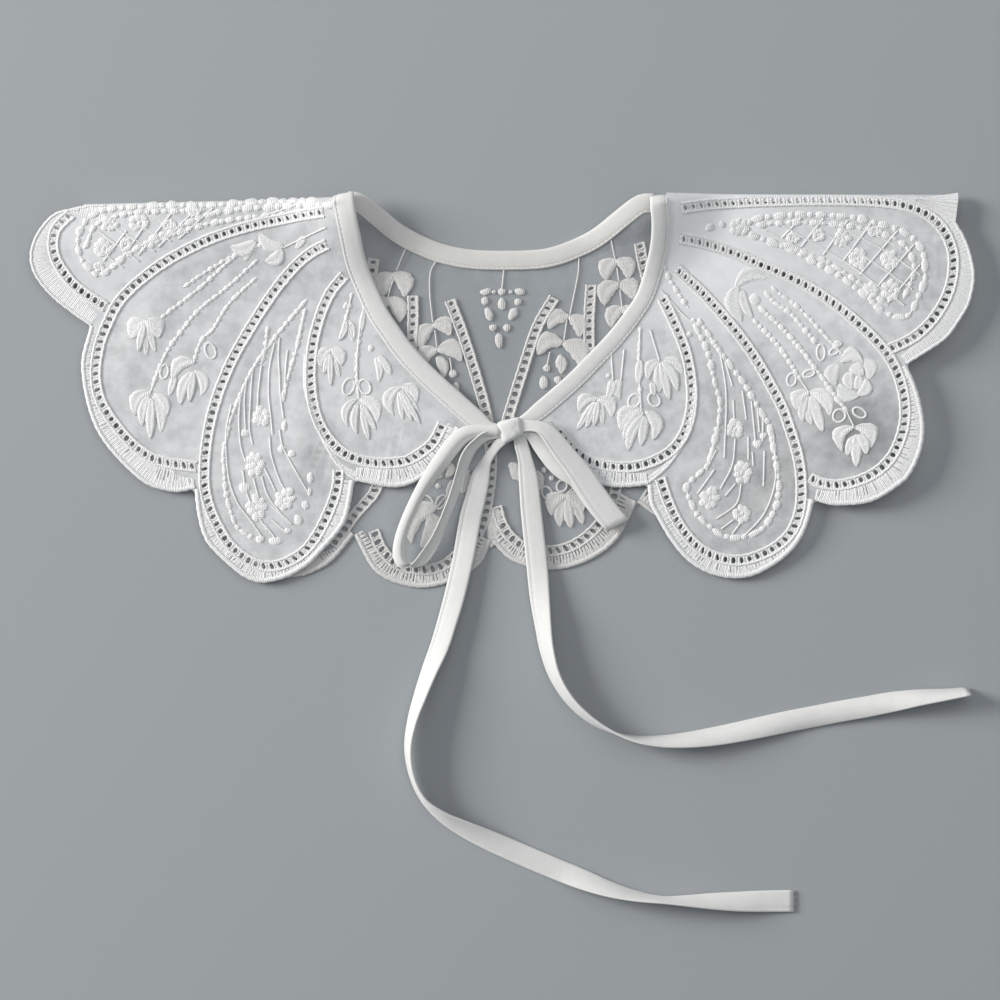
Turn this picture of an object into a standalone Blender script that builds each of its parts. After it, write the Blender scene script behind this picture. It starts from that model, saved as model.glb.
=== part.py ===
"""Lace collar laid flat: scalloped organza petals, a bound neck and ties in a bow.

The collar is one ring of embroidered organza. It is folded at both shoulders, so that the two
front panels lie on the back panel. Seen from above, +X is to the right and +Y is toward the
shoulder folds. +Z is up. The origin is on the flat underside of the back panel.
All tables and sizes are in millimetres and degrees.
"""

import math
from collections import namedtuple

import bmesh
import bpy
import numpy as np
from mathutils import Vector
from mathutils.geometry import delaunay_2d_cdt

MM = 0.001

# Cloth
LACE_WALL = 1.0
BINDING_WALL = 1.6
LOOP_WALL = 1.0
TIE_WALL = 1.2
SEAM_GAP = 0.3

# Raised borders of the lace: the ladder of eyelets round each petal and the satin rim
LADDER_FOOT = 5.2
LADDER_TOP = 3.8
LADDER_RISE = 0.5
RIM_WIDTH = 1.8
RIM_RISE = 0.4
NOTCH_CLEARANCE = 4.0

# Lie of the layers
FRONT_LAY = LACE_WALL + LADDER_RISE + SEAM_GAP
FOLD_REACH = 46.0
SHOULDER_RISE = 9.0
SHOULDER_REACH = 40.0
ROLL_STEPS = 6
LIFT_START = 110.0
LIFT_REACH = 90.0

# Spacing of the points along edges, ladders and tapes, and over the open field of a panel
EDGE_STEP = 6.0
LADDER_STEP = 7.5
FIELD_STEP = 9.0
FIELD_CLEARANCE = 3.4
TAPE_STEP = 7.0
ROLL_SPACING = 8.0
CURVE_SAMPLES = 24
CDT_EPSILON = 1e-4
SMOOTH_ANGLE = 35.0

# Colours of the pieces, linear red, green and blue
LACE_WHITE = (0.71, 0.73, 0.74)
BINDING_WHITE = (0.84, 0.84, 0.81)

Fold = namedtuple("Fold", "neck_x tip_x neck_y tip_y neck_radius tip_radius hem_lift")
Tape = namedtuple("Tape", "x y foot width tilt")

# Shoulder folds: ends in plan, the radius that the cloth rolls round and how far the hem stands up
FOLD_LEFT = Fold(-76.0, -193.0, 92.5, 89.8, 4.0, 3.0, 0.6)
FOLD_RIGHT = Fold(76.6, 210.0, 94.4, 94.2, 4.2, 3.2, 5.0)
SHOULDER_POINTS = ((-66.0, 91.0), (68.0, 92.0))

# Outer edges of the front petals, from the shoulder to the centre front. Columns: x, y
FRONT_LEFT_PETALS = (
    ((-193, 86.8), (-208, 84), (-216, 66), (-206, 48), (-188, 34)),
    ((-188, 34), (-192, 14), (-185, -14), (-166, -36), (-151, -42), (-140, -41)),
    ((-140, -41), (-135, -63), (-118, -82), (-104, -84), (-86, -72), (-71, -53), (-67, -37)),
    ((-67, -37), (-47, -40), (-33, -34), (-23, -23), (-18.5, -13)),
)
FRONT_RIGHT_PETALS = (
    ((210, 91), (214, 78), (218, 60), (215, 43), (207, 31), (186, 16)),
    ((186, 16), (192, 0), (194, -18), (184, -38), (170, -46), (154, -49), (144, -46)),
    ((144, -46), (137, -68), (121, -79), (99, -80), (82, -71), (69, -54), (68, -39)),
    ((68, -39), (58, -40), (47, -39), (32, -32), (24, -20), (20.5, -11)),
)

# Outer edge of the back, from the left shoulder to the right one. Columns: x, y
BACK_PETALS = (
    ((-191, 86.2), (-197, 71), (-189, 50), (-178, 34)),
    ((-178, 34), (-182, 14), (-176, -12), (-159, -31), (-136, -33)),
    ((-136, -33), (-128, -60), (-109, -79), (-92, -81), (-75, -71), (-67, -60)),
    ((-67, -60), (-57, -79), (-40, -86), (-24, -84), (-10, -76), (-4, -65)),
    ((-4, -65), (6, -74), (22, -78), (38, -75), (53, -65), (63, -47)),
    ((63, -47), (74, -54), (92, -58), (110, -55), (129, -46), (138, -32), (140, -18)),
    ((140, -18), (160, -6), (179, 8), (191, 25), (198, 46)),
    ((198, 46), (201, 60), (201, 72), (206, 90.5)),
)

# Centre lines of the ladders of eyelets. Columns: x, y
FRONT_LEFT_LADDERS = (
    ((-200, 79), (-204, 67), (-197, 54), (-185, 46)),
    ((-81, 83), (-103, 80), (-134, 72), (-161, 59), (-176, 44), (-185, 15), (-183, 0),
     (-169, -20), (-156, -29), (-141, -31)),
    ((-79, 73), (-91, 63), (-107, 45), (-123, 18), (-133, -10), (-136, -39), (-130, -58),
     (-117, -72), (-108, -75), (-86, -65), (-76, -45), (-74, -34)),
    ((-73.5, 53), (-82, 39), (-87, 18), (-85, -6), (-78, -19), (-67, -27), (-53, -30),
     (-41, -27), (-31, -20), (-26, -11)),
)
FRONT_RIGHT_LADDERS = (
    ((82, 84.5), (117, 87), (159, 87.5), (187, 86), (199, 80), (206, 71), (207, 58), (203, 43),
     (193, 32), (182, 26)),
    ((83, 73), (107, 68), (132, 57), (159, 40), (178, 19), (185, 0), (181, -24), (167, -37),
     (153, -39), (143, -36)),
    ((81, 60), (96, 46), (114, 24), (128, 0), (138, -30), (137, -53), (123, -69), (110, -74),
     (90, -67), (78, -49), (74, -37)),
    ((76.5, 43), (85, 23), (87, 5), (84, -15), (74, -27), (60, -31), (47, -30), (34, -23),
     (26, -14)),
)
BACK_LADDERS = (
    ((-58, 65), (-60, 52), (-65, 28), (-76, -5), (-88, -36)),
    ((-40, 48), (-40, 34), (-42, 16), (-47, -14), (-58, -38), (-67, -49), (-78, -62)),
    ((-23, 46), (-17, 30), (-11, 11), (-6, -8), (-4, -28), (-6, -48), (-10, -61), (-23, -74),
     (-33, -78), (-46, -76), (-54, -69), (-58, -60)),
    ((25, 47), (17, 33), (10, 12), (5, -4), (2, -14)),
    ((42, 53), (41, 34), (42, 14), (47, -15), (52, -27), (53, -42), (45, -58), (31, -68),
     (14, -69), (4, -62), (0.5, -54)),
    ((64, 72), (67, 58), (74, 37), (92, 0), (101, -32)),
)

# Centre lines of the binding, finished width first. Columns: x, y
BACK_BINDING_WIDTH = 9.0
BACK_BINDING = (
    (-64.5, 90), (-55.7, 83.3), (-46.9, 76.4), (-35.9, 70.8), (-24.4, 66.7), (-9.7, 64.4),
    (13.8, 64.4), (25.8, 66.2), (37.7, 70.8), (46, 75.4), (56.1, 83.3), (66, 90.8),
)
LEFT_BINDING_WIDTH = 9.6
LEFT_BINDING = (
    (-70.9, 88.5), (-68.5, 75), (-65.3, 60.7), (-57.5, 42.3), (-50.6, 31.3), (-43.2, 21.2),
    (-33.6, 11), (-22.5, 0.9), (-5.5, -13.8),
)
RIGHT_BINDING_WIDTH = 8.2
RIGHT_BINDING = (
    (72.2, 90.2), (73.2, 79), (72.2, 66.7), (67.2, 48.8), (60.7, 38.2), (52.4, 27.6),
    (42.8, 17.5), (32.7, 7.4), (16.6, -6), (12.4, -9.2),
)
BINDING_ROLL_END = 100.0
BINDING_ROLL_STEPS = 4
# Length of the binding at the bow that has no lace sewn to it
BARE_BINDING_LEFT = 10.5
BARE_BINDING_RIGHT = 6.5

# Bow knot: centre, size and turn in plan
KNOT_CENTRE = (4.1, -14.3, 5.0)
KNOT_SIZE = (9.6, 8.6, 6.4)
KNOT_TURN = 14.0
KNOT_ROUND = 2.2

# Left bow loop, out from the knot and back to it. A tilt of 90 stands the tape on its edge
LEFT_LOOP = (
    Tape(-1.8, -15.2, 3.7, 5.0, 0),
    Tape(-12.0, -14.3, 3.7, 6.5, -8),
    Tape(-20.7, -18.9, 3.7, 8.0, -20),
    Tape(-30.4, -31.7, 3.7, 9.0, -42),
    Tape(-37.7, -45.1, 3.4, 9.4, -55),
    Tape(-43.7, -58.4, 2.4, 9.6, -68),
    Tape(-46.0, -68.1, 2.0, 9.6, -82),
    Tape(-42.8, -73.6, 2.0, 9.6, -90),
    Tape(-36.8, -68.1, 2.0, 9.6, -98),
    Tape(-28.5, -53.8, 2.6, 9.4, -114),
    Tape(-24.4, -40.9, 4.0, 8.6, -132),
    Tape(-21.2, -29.0, 4.8, 7.5, -150),
    Tape(-14.6, -20.2, 5.3, 6.0, -168),
    Tape(-2.0, -16.4, 5.4, 5.0, -180),
)

# Right bow loop, pressed flat: upper run and lower run, then their heights and the end turn
RIGHT_LOOP_UPPER = (
    (12.6, -13.6), (20, -17), (29.4, -25.8), (37.7, -35.4), (45, -45.5), (53, -57),
)
RIGHT_LOOP_LOWER = (
    (53, -57), (42, -46), (33.5, -36.5), (25.5, -27.5), (18, -20.6), (13.8, -17.8),
)
RIGHT_LOOP_UPPER_Z = 5.8
RIGHT_LOOP_LOWER_Z = 4.2
RIGHT_LOOP_WIDTH = 10.4
RIGHT_LOOP_NECK = 5.2
RIGHT_LOOP_GATHER = 18.0
RIGHT_LOOP_SIDE = (0.72, 0.69, 0.0)
LOOP_TURN_STEPS = 4

# Neck corners of the back panel's fold edges
BACK_NECK_LEFT_X = -69.0
BACK_NECK_RIGHT_X = 71.0

# Free ties, from the knot to the cut end
LEFT_TIE = (
    Tape(-1.0, -21.3, 1.8, 4.5, 0),
    Tape(-7.4, -29.9, 1.8, 5.0, 0),
    Tape(-12.0, -46.9, 1.8, 10.2, 0),
    Tape(-16.6, -73.1, 1.8, 10.4, 20),
    Tape(-19.4, -88.0, 1.6, 10.4, 5),
    Tape(-29.4, -118.2, 0.0, 10.4, 30),
    Tape(-38.6, -144.4, 0.0, 10.4, 42),
    Tape(-40.9, -161.0, 0.0, 10.4, 60),
    Tape(-38.2, -176.2, 0.0, 10.4, 64),
    Tape(-30.4, -188.6, 0.0, 10.4, 48),
    Tape(-15.2, -197.8, 0.0, 10.4, 12),
    Tape(9.2, -209.3, 0.0, 10.4, 0),
    Tape(35.9, -219.9, 0.0, 10.4, 30),
    Tape(60.0, -227.0, 0.0, 10.4, 64),
    Tape(74.0, -229.6, 0.0, 10.4, 76),
    Tape(94.8, -230.5, 0.0, 10.4, 46),
    Tape(115.0, -230.8, 0.0, 10.4, 10),
    Tape(135.0, -230.5, 0.0, 10.4, 0),
)
RIGHT_TIE = (
    Tape(9.9, -20.2, 1.8, 7.6, 0),
    Tape(13.3, -35.9, 1.8, 9.0, 0),
    Tape(15.6, -55.7, 1.8, 9.6, 0),
    Tape(17.0, -73.1, 1.8, 10.0, 0),
    Tape(17.8, -85.0, 1.6, 10.4, 10),
    Tape(19.8, -103.5, 0.0, 10.4, 34),
    Tape(24.4, -122.8, 0.0, 10.4, 50),
    Tape(34.0, -137.1, 0.0, 10.4, 62),
    Tape(46.5, -148.1, 0.0, 10.4, 76),
    Tape(62.1, -155.0, 0.0, 10.4, 76),
    Tape(79.6, -156.9, 0.0, 10.4, 58),
    Tape(100.3, -153.6, 0.0, 10.4, 28),
    Tape(126.5, -149.0, 0.0, 10.4, 0),
    Tape(162.8, -141.7, 0.0, 10.4, 0),
    Tape(190.9, -137.1, 0.0, 10.4, 38),
    Tape(215.3, -134.6, 0.0, 10.4, 64),
)


def ease(t):
    """Falls smoothly from 1 at t = 0 to 0 at t = 1 and beyond."""
    t = min(max(t, 0.0), 1.0)
    return (1 - t) ** 2 * (1 + 2 * t)


def even_rows(rows, step):
    """Rows about one step apart in plan. The first two columns are x and y."""
    rows = np.asarray(rows, dtype=float)
    spans = np.hypot(*np.diff(rows[:, :2], axis=0).T)
    lengths = np.concatenate(([0.0], np.cumsum(spans)))
    places = np.linspace(0.0, lengths[-1], max(1, round(lengths[-1] / step)) + 1)
    return np.column_stack([np.interp(places, lengths, column) for column in rows.T])


def smooth_rows(rows, step):
    """Smooth curve through rows of numbers, with rows about one step apart in plan."""
    knots = np.asarray(rows, dtype=float)
    knots = np.vstack((2 * knots[0] - knots[1], knots, 2 * knots[-1] - knots[-2]))
    dense = []
    for before, start, end, after in zip(knots, knots[1:], knots[2:], knots[3:]):
        for i in range(CURVE_SAMPLES):
            t = i / CURVE_SAMPLES
            linear = (end - before) * t
            square = (2 * before - 5 * start + 4 * end - after) * t ** 2
            cube = (3 * start - before - 3 * end + after) * t ** 3
            dense.append((2 * start + linear + square + cube) / 2)
    dense.append(knots[-2])
    return even_rows(dense, step)


def smooth_curve(points, step):
    """Smooth curve in plan through the points."""
    return [Vector(row) for row in smooth_rows(points, step)]


def beside(path, distance):
    """A path moved sideways in plan, to the left of its direction."""
    moved = []
    for i, point in enumerate(path):
        ahead = path[min(i + 1, len(path) - 1)] - path[max(i - 1, 0)]
        moved.append(point + Vector((-ahead.y, ahead.x)).normalized() * distance)
    return moved


def path_distance(point, path):
    """Distance in plan from a point to a path."""
    nearest = math.inf
    for start, end in zip(path, path[1:]):
        along = end - start
        share = min(max((point - start).dot(along) / along.length_squared, 0.0), 1.0)
        nearest = min(nearest, (start + along * share - point).length)
    return nearest


def inside(point, outline):
    """True if a point in plan is inside a closed outline."""
    odd = False
    for start, end in zip(outline, outline[1:] + outline[:1]):
        if (start.y > point.y) != (end.y > point.y):
            crossing = start.x + (point.y - start.y) * (end.x - start.x) / (end.y - start.y)
            if crossing > point.x:
                odd = not odd
    return odd


def fold_share(fold, x):
    """0 at the neck end of a shoulder fold and 1 at its outer tip."""
    return (x - fold.neck_x) / (fold.tip_x - fold.neck_x)


def fold_radius(fold, x):
    """Outer radius of the roll at a place along the fold."""
    return fold.neck_radius + (fold.tip_radius - fold.neck_radius) * fold_share(fold, x)


def roll_start(fold, x):
    """The y at which the front panel ends and the roll begins."""
    return fold.neck_y + (fold.tip_y - fold.neck_y) * fold_share(fold, x) - fold_radius(fold, x)


def back_height(x, y):
    """Underside of the back: flat on the table, and raised at the shoulder points of the neck."""
    rise = 0.0
    for apex in SHOULDER_POINTS:
        rise += SHOULDER_RISE * ease(math.hypot(x - apex[0], y - apex[1]) / SHOULDER_REACH)
    return rise


def front_height(fold, x, y):
    """Underside of a front panel: on the back panel, rising to the roll at the shoulder."""
    roll = 2 * fold_radius(fold, x) - LACE_WALL - FRONT_LAY
    depth = max(roll_start(fold, x) - y, 0.0)
    outward = 1 - ease((abs(x) - LIFT_START) / LIFT_REACH)
    lift = fold.hem_lift * outward * (1 - ease(depth / FOLD_REACH))
    return FRONT_LAY + back_height(x, y) + roll * ease(depth / FOLD_REACH) + lift


def scalloped_hem(petals, inward):
    """The scalloped edge as one path, and the inner line of each petal's satin rim."""
    edge = []
    rims = []
    for petal in petals:
        curve = smooth_curve(petal, EDGE_STEP)
        edge += curve[:-1]
        line = [point for point in beside(curve, RIM_WIDTH * inward)
                if min((point - curve[0]).length, (point - curve[-1]).length) > NOTCH_CLEARANCE]
        rims.append(line)
    return edge + [curve[-1]], rims


def band_loop(path, width, end_inset):
    """Closed outline of a band of the given width along a path."""
    path = list(path)
    path[0] = path[0] + (path[1] - path[0]).normalized() * end_inset
    path[-1] = path[-1] + (path[-2] - path[-1]).normalized() * end_inset
    return beside(path, width / 2) + beside(path, -width / 2)[::-1]


def field_points(outline, lines):
    """Points over the open cloth of a panel, clear of its edges and borders."""
    low_x = min(point.x for point in outline)
    high_x = max(point.x for point in outline)
    low_y = min(point.y for point in outline)
    high_y = max(point.y for point in outline)
    row_step = FIELD_STEP * math.sqrt(3) / 2
    borders = lines + [outline + outline[:1]]
    points = []
    for row in range(1, int((high_y - low_y) / row_step) + 1):
        offset = FIELD_STEP / 2 if row % 2 else 0.0
        for column in range(int((high_x - low_x) / FIELD_STEP) + 1):
            point = Vector((low_x + offset + column * FIELD_STEP, low_y + row * row_step))
            if not inside(point, outline):
                continue
            if all(path_distance(point, border) > FIELD_CLEARANCE for border in borders):
                points.append(point)
    return points


def triangulate(outline, loops, lines, points):
    """Triangles inside an outline that follow every loop and line, and the outline's places."""
    coords = list(outline)
    edges = []
    for path in loops + lines:
        first = len(coords)
        coords += path
        edges += [(i, i + 1) for i in range(first, len(coords) - 1)]
        if path in loops:
            edges.append((len(coords) - 1, first))
    coords += points
    face = [list(range(len(outline)))]
    found, _, triangles, sources, _, _ = delaunay_2d_cdt(coords, edges, face, 1, CDT_EPSILON)
    place_of = {original: i for i, source in enumerate(sources) for original in source}
    return found, triangles, [place_of[i] for i in range(len(outline))]


def add_surface(bm, coords, triangles, height):
    """Lift a flat triangulation to its height, and return its vertices."""
    verts = {}
    for i in sorted({i for triangle in triangles for i in triangle}):
        point = coords[i]
        verts[i] = bm.verts.new(Vector((point.x, point.y, height(point))) * MM)
    for triangle in triangles:
        bm.faces.new([verts[i] for i in triangle])
    return verts


def bridge(bm, lower, upper):
    """Quads between two rows of vertices."""
    for i in range(len(lower) - 1):
        bm.faces.new((lower[i], lower[i + 1], upper[i + 1], upper[i]))


def add_roll(bm, outer, inner, fold):
    """Carry the front panel's wall round the shoulder, down to the back panel's edge."""
    for step in range(1, ROLL_STEPS + 1):
        angle = math.pi * step / ROLL_STEPS
        next_outer = []
        next_inner = []
        for vert in outer:
            x = vert.co.x / MM
            y = roll_start(fold, x)
            radius = fold_radius(fold, x)
            centre = back_height(x, y) + radius
            for size, row in ((radius, next_outer), (radius - LACE_WALL, next_inner)):
                turned = Vector((x, y + size * math.sin(angle), centre + size * math.cos(angle)))
                row.append(bm.verts.new(turned * MM))
        bridge(bm, outer, next_outer)
        bridge(bm, inner, next_inner)
        bm.faces.new((outer[0], next_outer[0], next_inner[0], inner[0]))
        bm.faces.new((outer[-1], next_outer[-1], next_inner[-1], inner[-1]))
        outer = next_outer
        inner = next_inner
    bridge(bm, outer, inner)


def finish_object(name, bm, colour):
    """Turn a closed bmesh into a named object with its own material."""
    bmesh.ops.recalc_face_normals(bm, faces=bm.faces)
    mesh = bpy.data.meshes.new(name)
    bm.to_mesh(mesh)
    bm.free()
    mesh.shade_smooth()
    mesh.set_sharp_from_angle(angle=math.radians(SMOOTH_ANGLE))
    material = bpy.data.materials.new(name + "_cloth")
    material.use_nodes = True
    surface = material.node_tree.nodes["Principled BSDF"]
    surface.inputs["Base Color"].default_value = (*colour, 1.0)
    surface.inputs["Roughness"].default_value = 0.85
    surface.inputs["Metallic"].default_value = 0.0
    mesh.materials.append(material)
    obj = bpy.data.objects.new(name, mesh)
    bpy.context.scene.collection.objects.link(obj)
    return obj


def lace_panel(name, fold_line, hem, rims, neck_line, ladders, height, fold=None):
    """A wall of lace, plain underneath, with its ladders and satin rim raised on top."""
    outline = fold_line + hem + neck_line
    paths = [smooth_curve(ladder, LADDER_STEP) for ladder in ladders]
    loops = [band_loop(path, LADDER_FOOT, 0.0) for path in paths]
    loops += [band_loop(path, LADDER_TOP, (LADDER_FOOT - LADDER_TOP) / 2) for path in paths]
    raised_reach = (LADDER_FOOT + LADDER_TOP) / 4

    def under(point):
        return height(point.x, point.y)

    def top(point):
        rise = 0.0
        if any(path_distance(point, path) < raised_reach for path in paths):
            rise = LADDER_RISE
        elif path_distance(point, hem) < RIM_WIDTH / 4:
            rise = RIM_RISE
        return height(point.x, point.y) + LACE_WALL + rise

    bm = bmesh.new()
    coords, triangles, places = triangulate(outline, loops, rims, field_points(outline, paths + rims))
    verts = add_surface(bm, coords, triangles, top)
    upper = [verts[i] for i in places]
    coords, triangles, places = triangulate(outline, [], [], field_points(outline, []))
    verts = add_surface(bm, coords, triangles, under)
    lower = [verts[i] for i in places]
    first_wall = 0
    if fold is not None:
        first_wall = len(fold_line)
        add_roll(bm, upper[:first_wall + 1], lower[:first_wall + 1], fold)
    bridge(bm, lower[first_wall:] + lower[:1], upper[first_wall:] + upper[:1])
    return finish_object(name, bm, LACE_WHITE)


def front_panel(name, fold, petals, ladders, binding, width, bare, inward):
    """A front panel of lace, from its shoulder roll to the neck binding's outer edge."""
    hem, rims = scalloped_hem(petals, inward)
    steps = round(abs(fold.tip_x - fold.neck_x) / ROLL_SPACING)
    fold_xs = [fold.neck_x + (fold.tip_x - fold.neck_x) * i / steps for i in range(steps)]
    fold_line = [Vector((x, roll_start(fold, x))) for x in fold_xs]
    hem[0] = Vector((fold.tip_x, roll_start(fold, fold.tip_x)))
    centre = smooth_curve(binding, EDGE_STEP)
    edge = beside(centre, -inward * (width / 2 + SEAM_GAP))
    kept = [point for point, middle in zip(edge, centre) if (middle - centre[-1]).length > bare]
    neck_line = kept[:0:-1]

    def height(x, y):
        return front_height(fold, x, y)

    return lace_panel(name, fold_line, hem, rims, neck_line, ladders, height, fold)


def back_panel():
    """The back of the collar, flat on the table under both fronts."""
    hem, rims = scalloped_hem(BACK_PETALS, 1)

    def fold_edge(fold, start_x, end_x):
        steps = round(abs(end_x - start_x) / ROLL_SPACING)
        xs = [start_x + (end_x - start_x) * i / steps for i in range(steps)]
        return [Vector((x, roll_start(fold, x) - SEAM_GAP)) for x in xs]

    left = fold_edge(FOLD_LEFT, BACK_NECK_LEFT_X, hem[0].x)
    right = fold_edge(FOLD_RIGHT, BACK_NECK_RIGHT_X, hem[-1].x)[::-1]
    centre = smooth_curve(BACK_BINDING, EDGE_STEP)
    neck_line = beside(centre, -BACK_BINDING_WIDTH / 2 - SEAM_GAP)[::-1]
    return lace_panel("lace_back", left, hem + right, rims, neck_line, BACK_LADDERS, back_height)


def tape_solid(name, centres, sides, wall, colour):
    """A flat tape along a route, with its half widths as vectors to the left edge."""
    bm = bmesh.new()
    rings = []
    for i, (centre, side) in enumerate(zip(centres, sides)):
        ahead = centres[min(i + 1, len(centres) - 1)] - centres[max(i - 1, 0)]
        up = ahead.cross(side).normalized() * wall / 2
        corners = (centre - side - up, centre + side - up, centre + side + up, centre - side + up)
        rings.append([bm.verts.new(corner * MM) for corner in corners])
    for ring, following in zip(rings, rings[1:]):
        bridge(bm, ring + ring[:1], following + following[:1])
    bm.faces.new(rings[0])
    bm.faces.new(rings[-1])
    return finish_object(name, bm, colour)


def folded_tape(name, rows, wall, colour):
    """A tape from a table of its places, widths and tilts."""
    rows = [Tape(*row) for row in smooth_rows(rows, TAPE_STEP)]
    centres = []
    sides = []
    for i, row in enumerate(rows):
        after = rows[min(i + 1, len(rows) - 1)]
        before = rows[max(i - 1, 0)]
        left = Vector((before.y - after.y, after.x - before.x, 0)).normalized()
        tilt = math.radians(row.tilt)
        half = row.width / 2
        level = abs(math.sin(tilt)) * half + abs(math.cos(tilt)) * wall / 2
        centres.append(Vector((row.x, row.y, max(row.foot, 0.0) + level)))
        sides.append((left * math.cos(tilt) + Vector((0, 0, math.sin(tilt)))) * half)
    return tape_solid(name, centres, sides, wall, colour)


def binding_strip(name, table, width, height, roll=None):
    """Neck binding that lies on the cloth's height, and may start with a roll over the shoulder."""
    path = smooth_curve(table, EDGE_STEP)
    left_edge = beside(path, width / 2)
    right_edge = beside(path, -width / 2)
    centres = []
    sides = []
    if roll is not None:
        start = path[0]
        radius = fold_radius(roll, start.x) - LACE_WALL + BINDING_WALL / 2
        middle = back_height(start.x, start.y) + fold_radius(roll, start.x)
        side = (left_edge[0] - right_edge[0]).to_3d() / 2
        for step in range(BINDING_ROLL_STEPS, 0, -1):
            angle = math.radians(BINDING_ROLL_END * step / BINDING_ROLL_STEPS)
            turned = (start.x, start.y + radius * math.sin(angle), middle + radius * math.cos(angle))
            centres.append(Vector(turned))
            sides.append(side)
    for left, right in zip(left_edge, right_edge):
        left = Vector((left.x, left.y, height(left.x, left.y) + BINDING_WALL / 2))
        right = Vector((right.x, right.y, height(right.x, right.y) + BINDING_WALL / 2))
        centres.append((left + right) / 2)
        sides.append((left - right) / 2)
    return tape_solid(name, centres, sides, BINDING_WALL, BINDING_WHITE)


def right_loop():
    """The loop that is pressed flat: out on top, round its end and back underneath."""
    upper = smooth_curve(RIGHT_LOOP_UPPER, TAPE_STEP)
    lower = smooth_curve(RIGHT_LOOP_LOWER, TAPE_STEP)
    radius = (RIGHT_LOOP_UPPER_Z - RIGHT_LOOP_LOWER_Z) / 2
    ahead = (upper[-1] - upper[-2]).normalized()
    centres = [Vector((point.x, point.y, RIGHT_LOOP_UPPER_Z)) for point in upper]
    for step in range(1, LOOP_TURN_STEPS):
        angle = math.pi * step / LOOP_TURN_STEPS
        place = upper[-1] + ahead * radius * math.sin(angle)
        level = RIGHT_LOOP_LOWER_Z + radius * (1 + math.cos(angle))
        centres.append(Vector((place.x, place.y, level)))
    centres += [Vector((point.x, point.y, RIGHT_LOOP_LOWER_Z)) for point in lower]
    knot = Vector(KNOT_CENTRE)
    sides = []
    for centre in centres:
        gathered = ease((centre - knot).length / RIGHT_LOOP_GATHER)
        width = RIGHT_LOOP_WIDTH + (RIGHT_LOOP_NECK - RIGHT_LOOP_WIDTH) * gathered
        sides.append(Vector(RIGHT_LOOP_SIDE).normalized() * width / 2)
    return tape_solid("bow_loop_right", centres, sides, LOOP_WALL, BINDING_WHITE)


def bow_knot():
    """The knot of the bow, a soft square pad of wrapped tape."""
    bm = bmesh.new()
    bmesh.ops.create_cube(bm, size=1.0)
    bmesh.ops.scale(bm, vec=Vector(KNOT_SIZE) * MM, verts=bm.verts)
    bmesh.ops.bevel(bm, geom=bm.edges, offset=KNOT_ROUND * MM, segments=3, profile=0.5,
                    affect="EDGES")
    knot = finish_object("bow_knot", bm, BINDING_WHITE)
    knot.location = Vector(KNOT_CENTRE) * MM
    knot.rotation_euler.z = math.radians(KNOT_TURN)
    return knot


def build():
    """Clear the scene and make every piece of the collar."""
    for obj in list(bpy.data.objects):
        bpy.data.objects.remove(obj)

    def left_height(x, y):
        return front_height(FOLD_LEFT, x, y)

    def right_height(x, y):
        return front_height(FOLD_RIGHT, x, y)

    back_panel()
    front_panel("lace_front_left", FOLD_LEFT, FRONT_LEFT_PETALS, FRONT_LEFT_LADDERS,
                LEFT_BINDING, LEFT_BINDING_WIDTH, BARE_BINDING_LEFT, 1)
    front_panel("lace_front_right", FOLD_RIGHT, FRONT_RIGHT_PETALS, FRONT_RIGHT_LADDERS,
                RIGHT_BINDING, RIGHT_BINDING_WIDTH, BARE_BINDING_RIGHT, -1)
    binding_strip("neck_binding_back", BACK_BINDING, BACK_BINDING_WIDTH, back_height)
    binding_strip("neck_binding_front_left", LEFT_BINDING, LEFT_BINDING_WIDTH, left_height,
                  FOLD_LEFT)
    binding_strip("neck_binding_front_right", RIGHT_BINDING, RIGHT_BINDING_WIDTH, right_height,
                  FOLD_RIGHT)
    bow_knot()
    folded_tape("bow_loop_left", LEFT_LOOP, LOOP_WALL, BINDING_WHITE)
    right_loop()
    folded_tape("tie_left", LEFT_TIE, TIE_WALL, BINDING_WHITE)
    folded_tape("tie_right", RIGHT_TIE, TIE_WALL, BINDING_WHITE)


build()
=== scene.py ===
"""Lace collar laid flat: embroidered organza petals, a bound neck and ties in a bow.

+X is to the right as seen from above, +Y toward the shoulder folds and +Z up.
Tables and sizes are in millimetres and degrees, and meshes are made in metres.
"""

import math
from collections import namedtuple

import bpy
import numpy as np
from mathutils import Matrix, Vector
from mathutils.geometry import delaunay_2d_cdt


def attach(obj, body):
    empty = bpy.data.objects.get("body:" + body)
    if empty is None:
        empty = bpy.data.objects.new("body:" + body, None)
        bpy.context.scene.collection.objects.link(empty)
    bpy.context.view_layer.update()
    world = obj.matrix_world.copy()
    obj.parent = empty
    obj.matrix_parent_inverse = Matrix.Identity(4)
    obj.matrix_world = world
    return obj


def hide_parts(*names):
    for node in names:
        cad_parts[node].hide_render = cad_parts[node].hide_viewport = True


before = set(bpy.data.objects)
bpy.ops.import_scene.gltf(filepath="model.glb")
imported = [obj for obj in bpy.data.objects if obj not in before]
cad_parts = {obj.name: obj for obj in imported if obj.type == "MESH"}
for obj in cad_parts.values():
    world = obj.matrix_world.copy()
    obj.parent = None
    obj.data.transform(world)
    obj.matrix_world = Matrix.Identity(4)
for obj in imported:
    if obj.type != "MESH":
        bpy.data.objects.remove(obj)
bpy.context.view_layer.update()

# Organza of the back. One ring of sheer polyester organza makes the whole collar. Its back lies
# flat on the table with the wrong side up, and only its neck corners rise to the shoulders.
# The cloth is cut open inside every ladder of eyelets, as the embroidery machine leaves it.
MM = 0.001
CURVE_SAMPLES = 24
ORGANZA_STEP = 4.2
ORGANZA_CLEARANCE = 1.6
ORGANZA_HEM_INSET = 1.0
LADDER_WIDTH = 5.2
SHOULDER_RISE = 9.0
SHOULDER_REACH = 40.0
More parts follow.
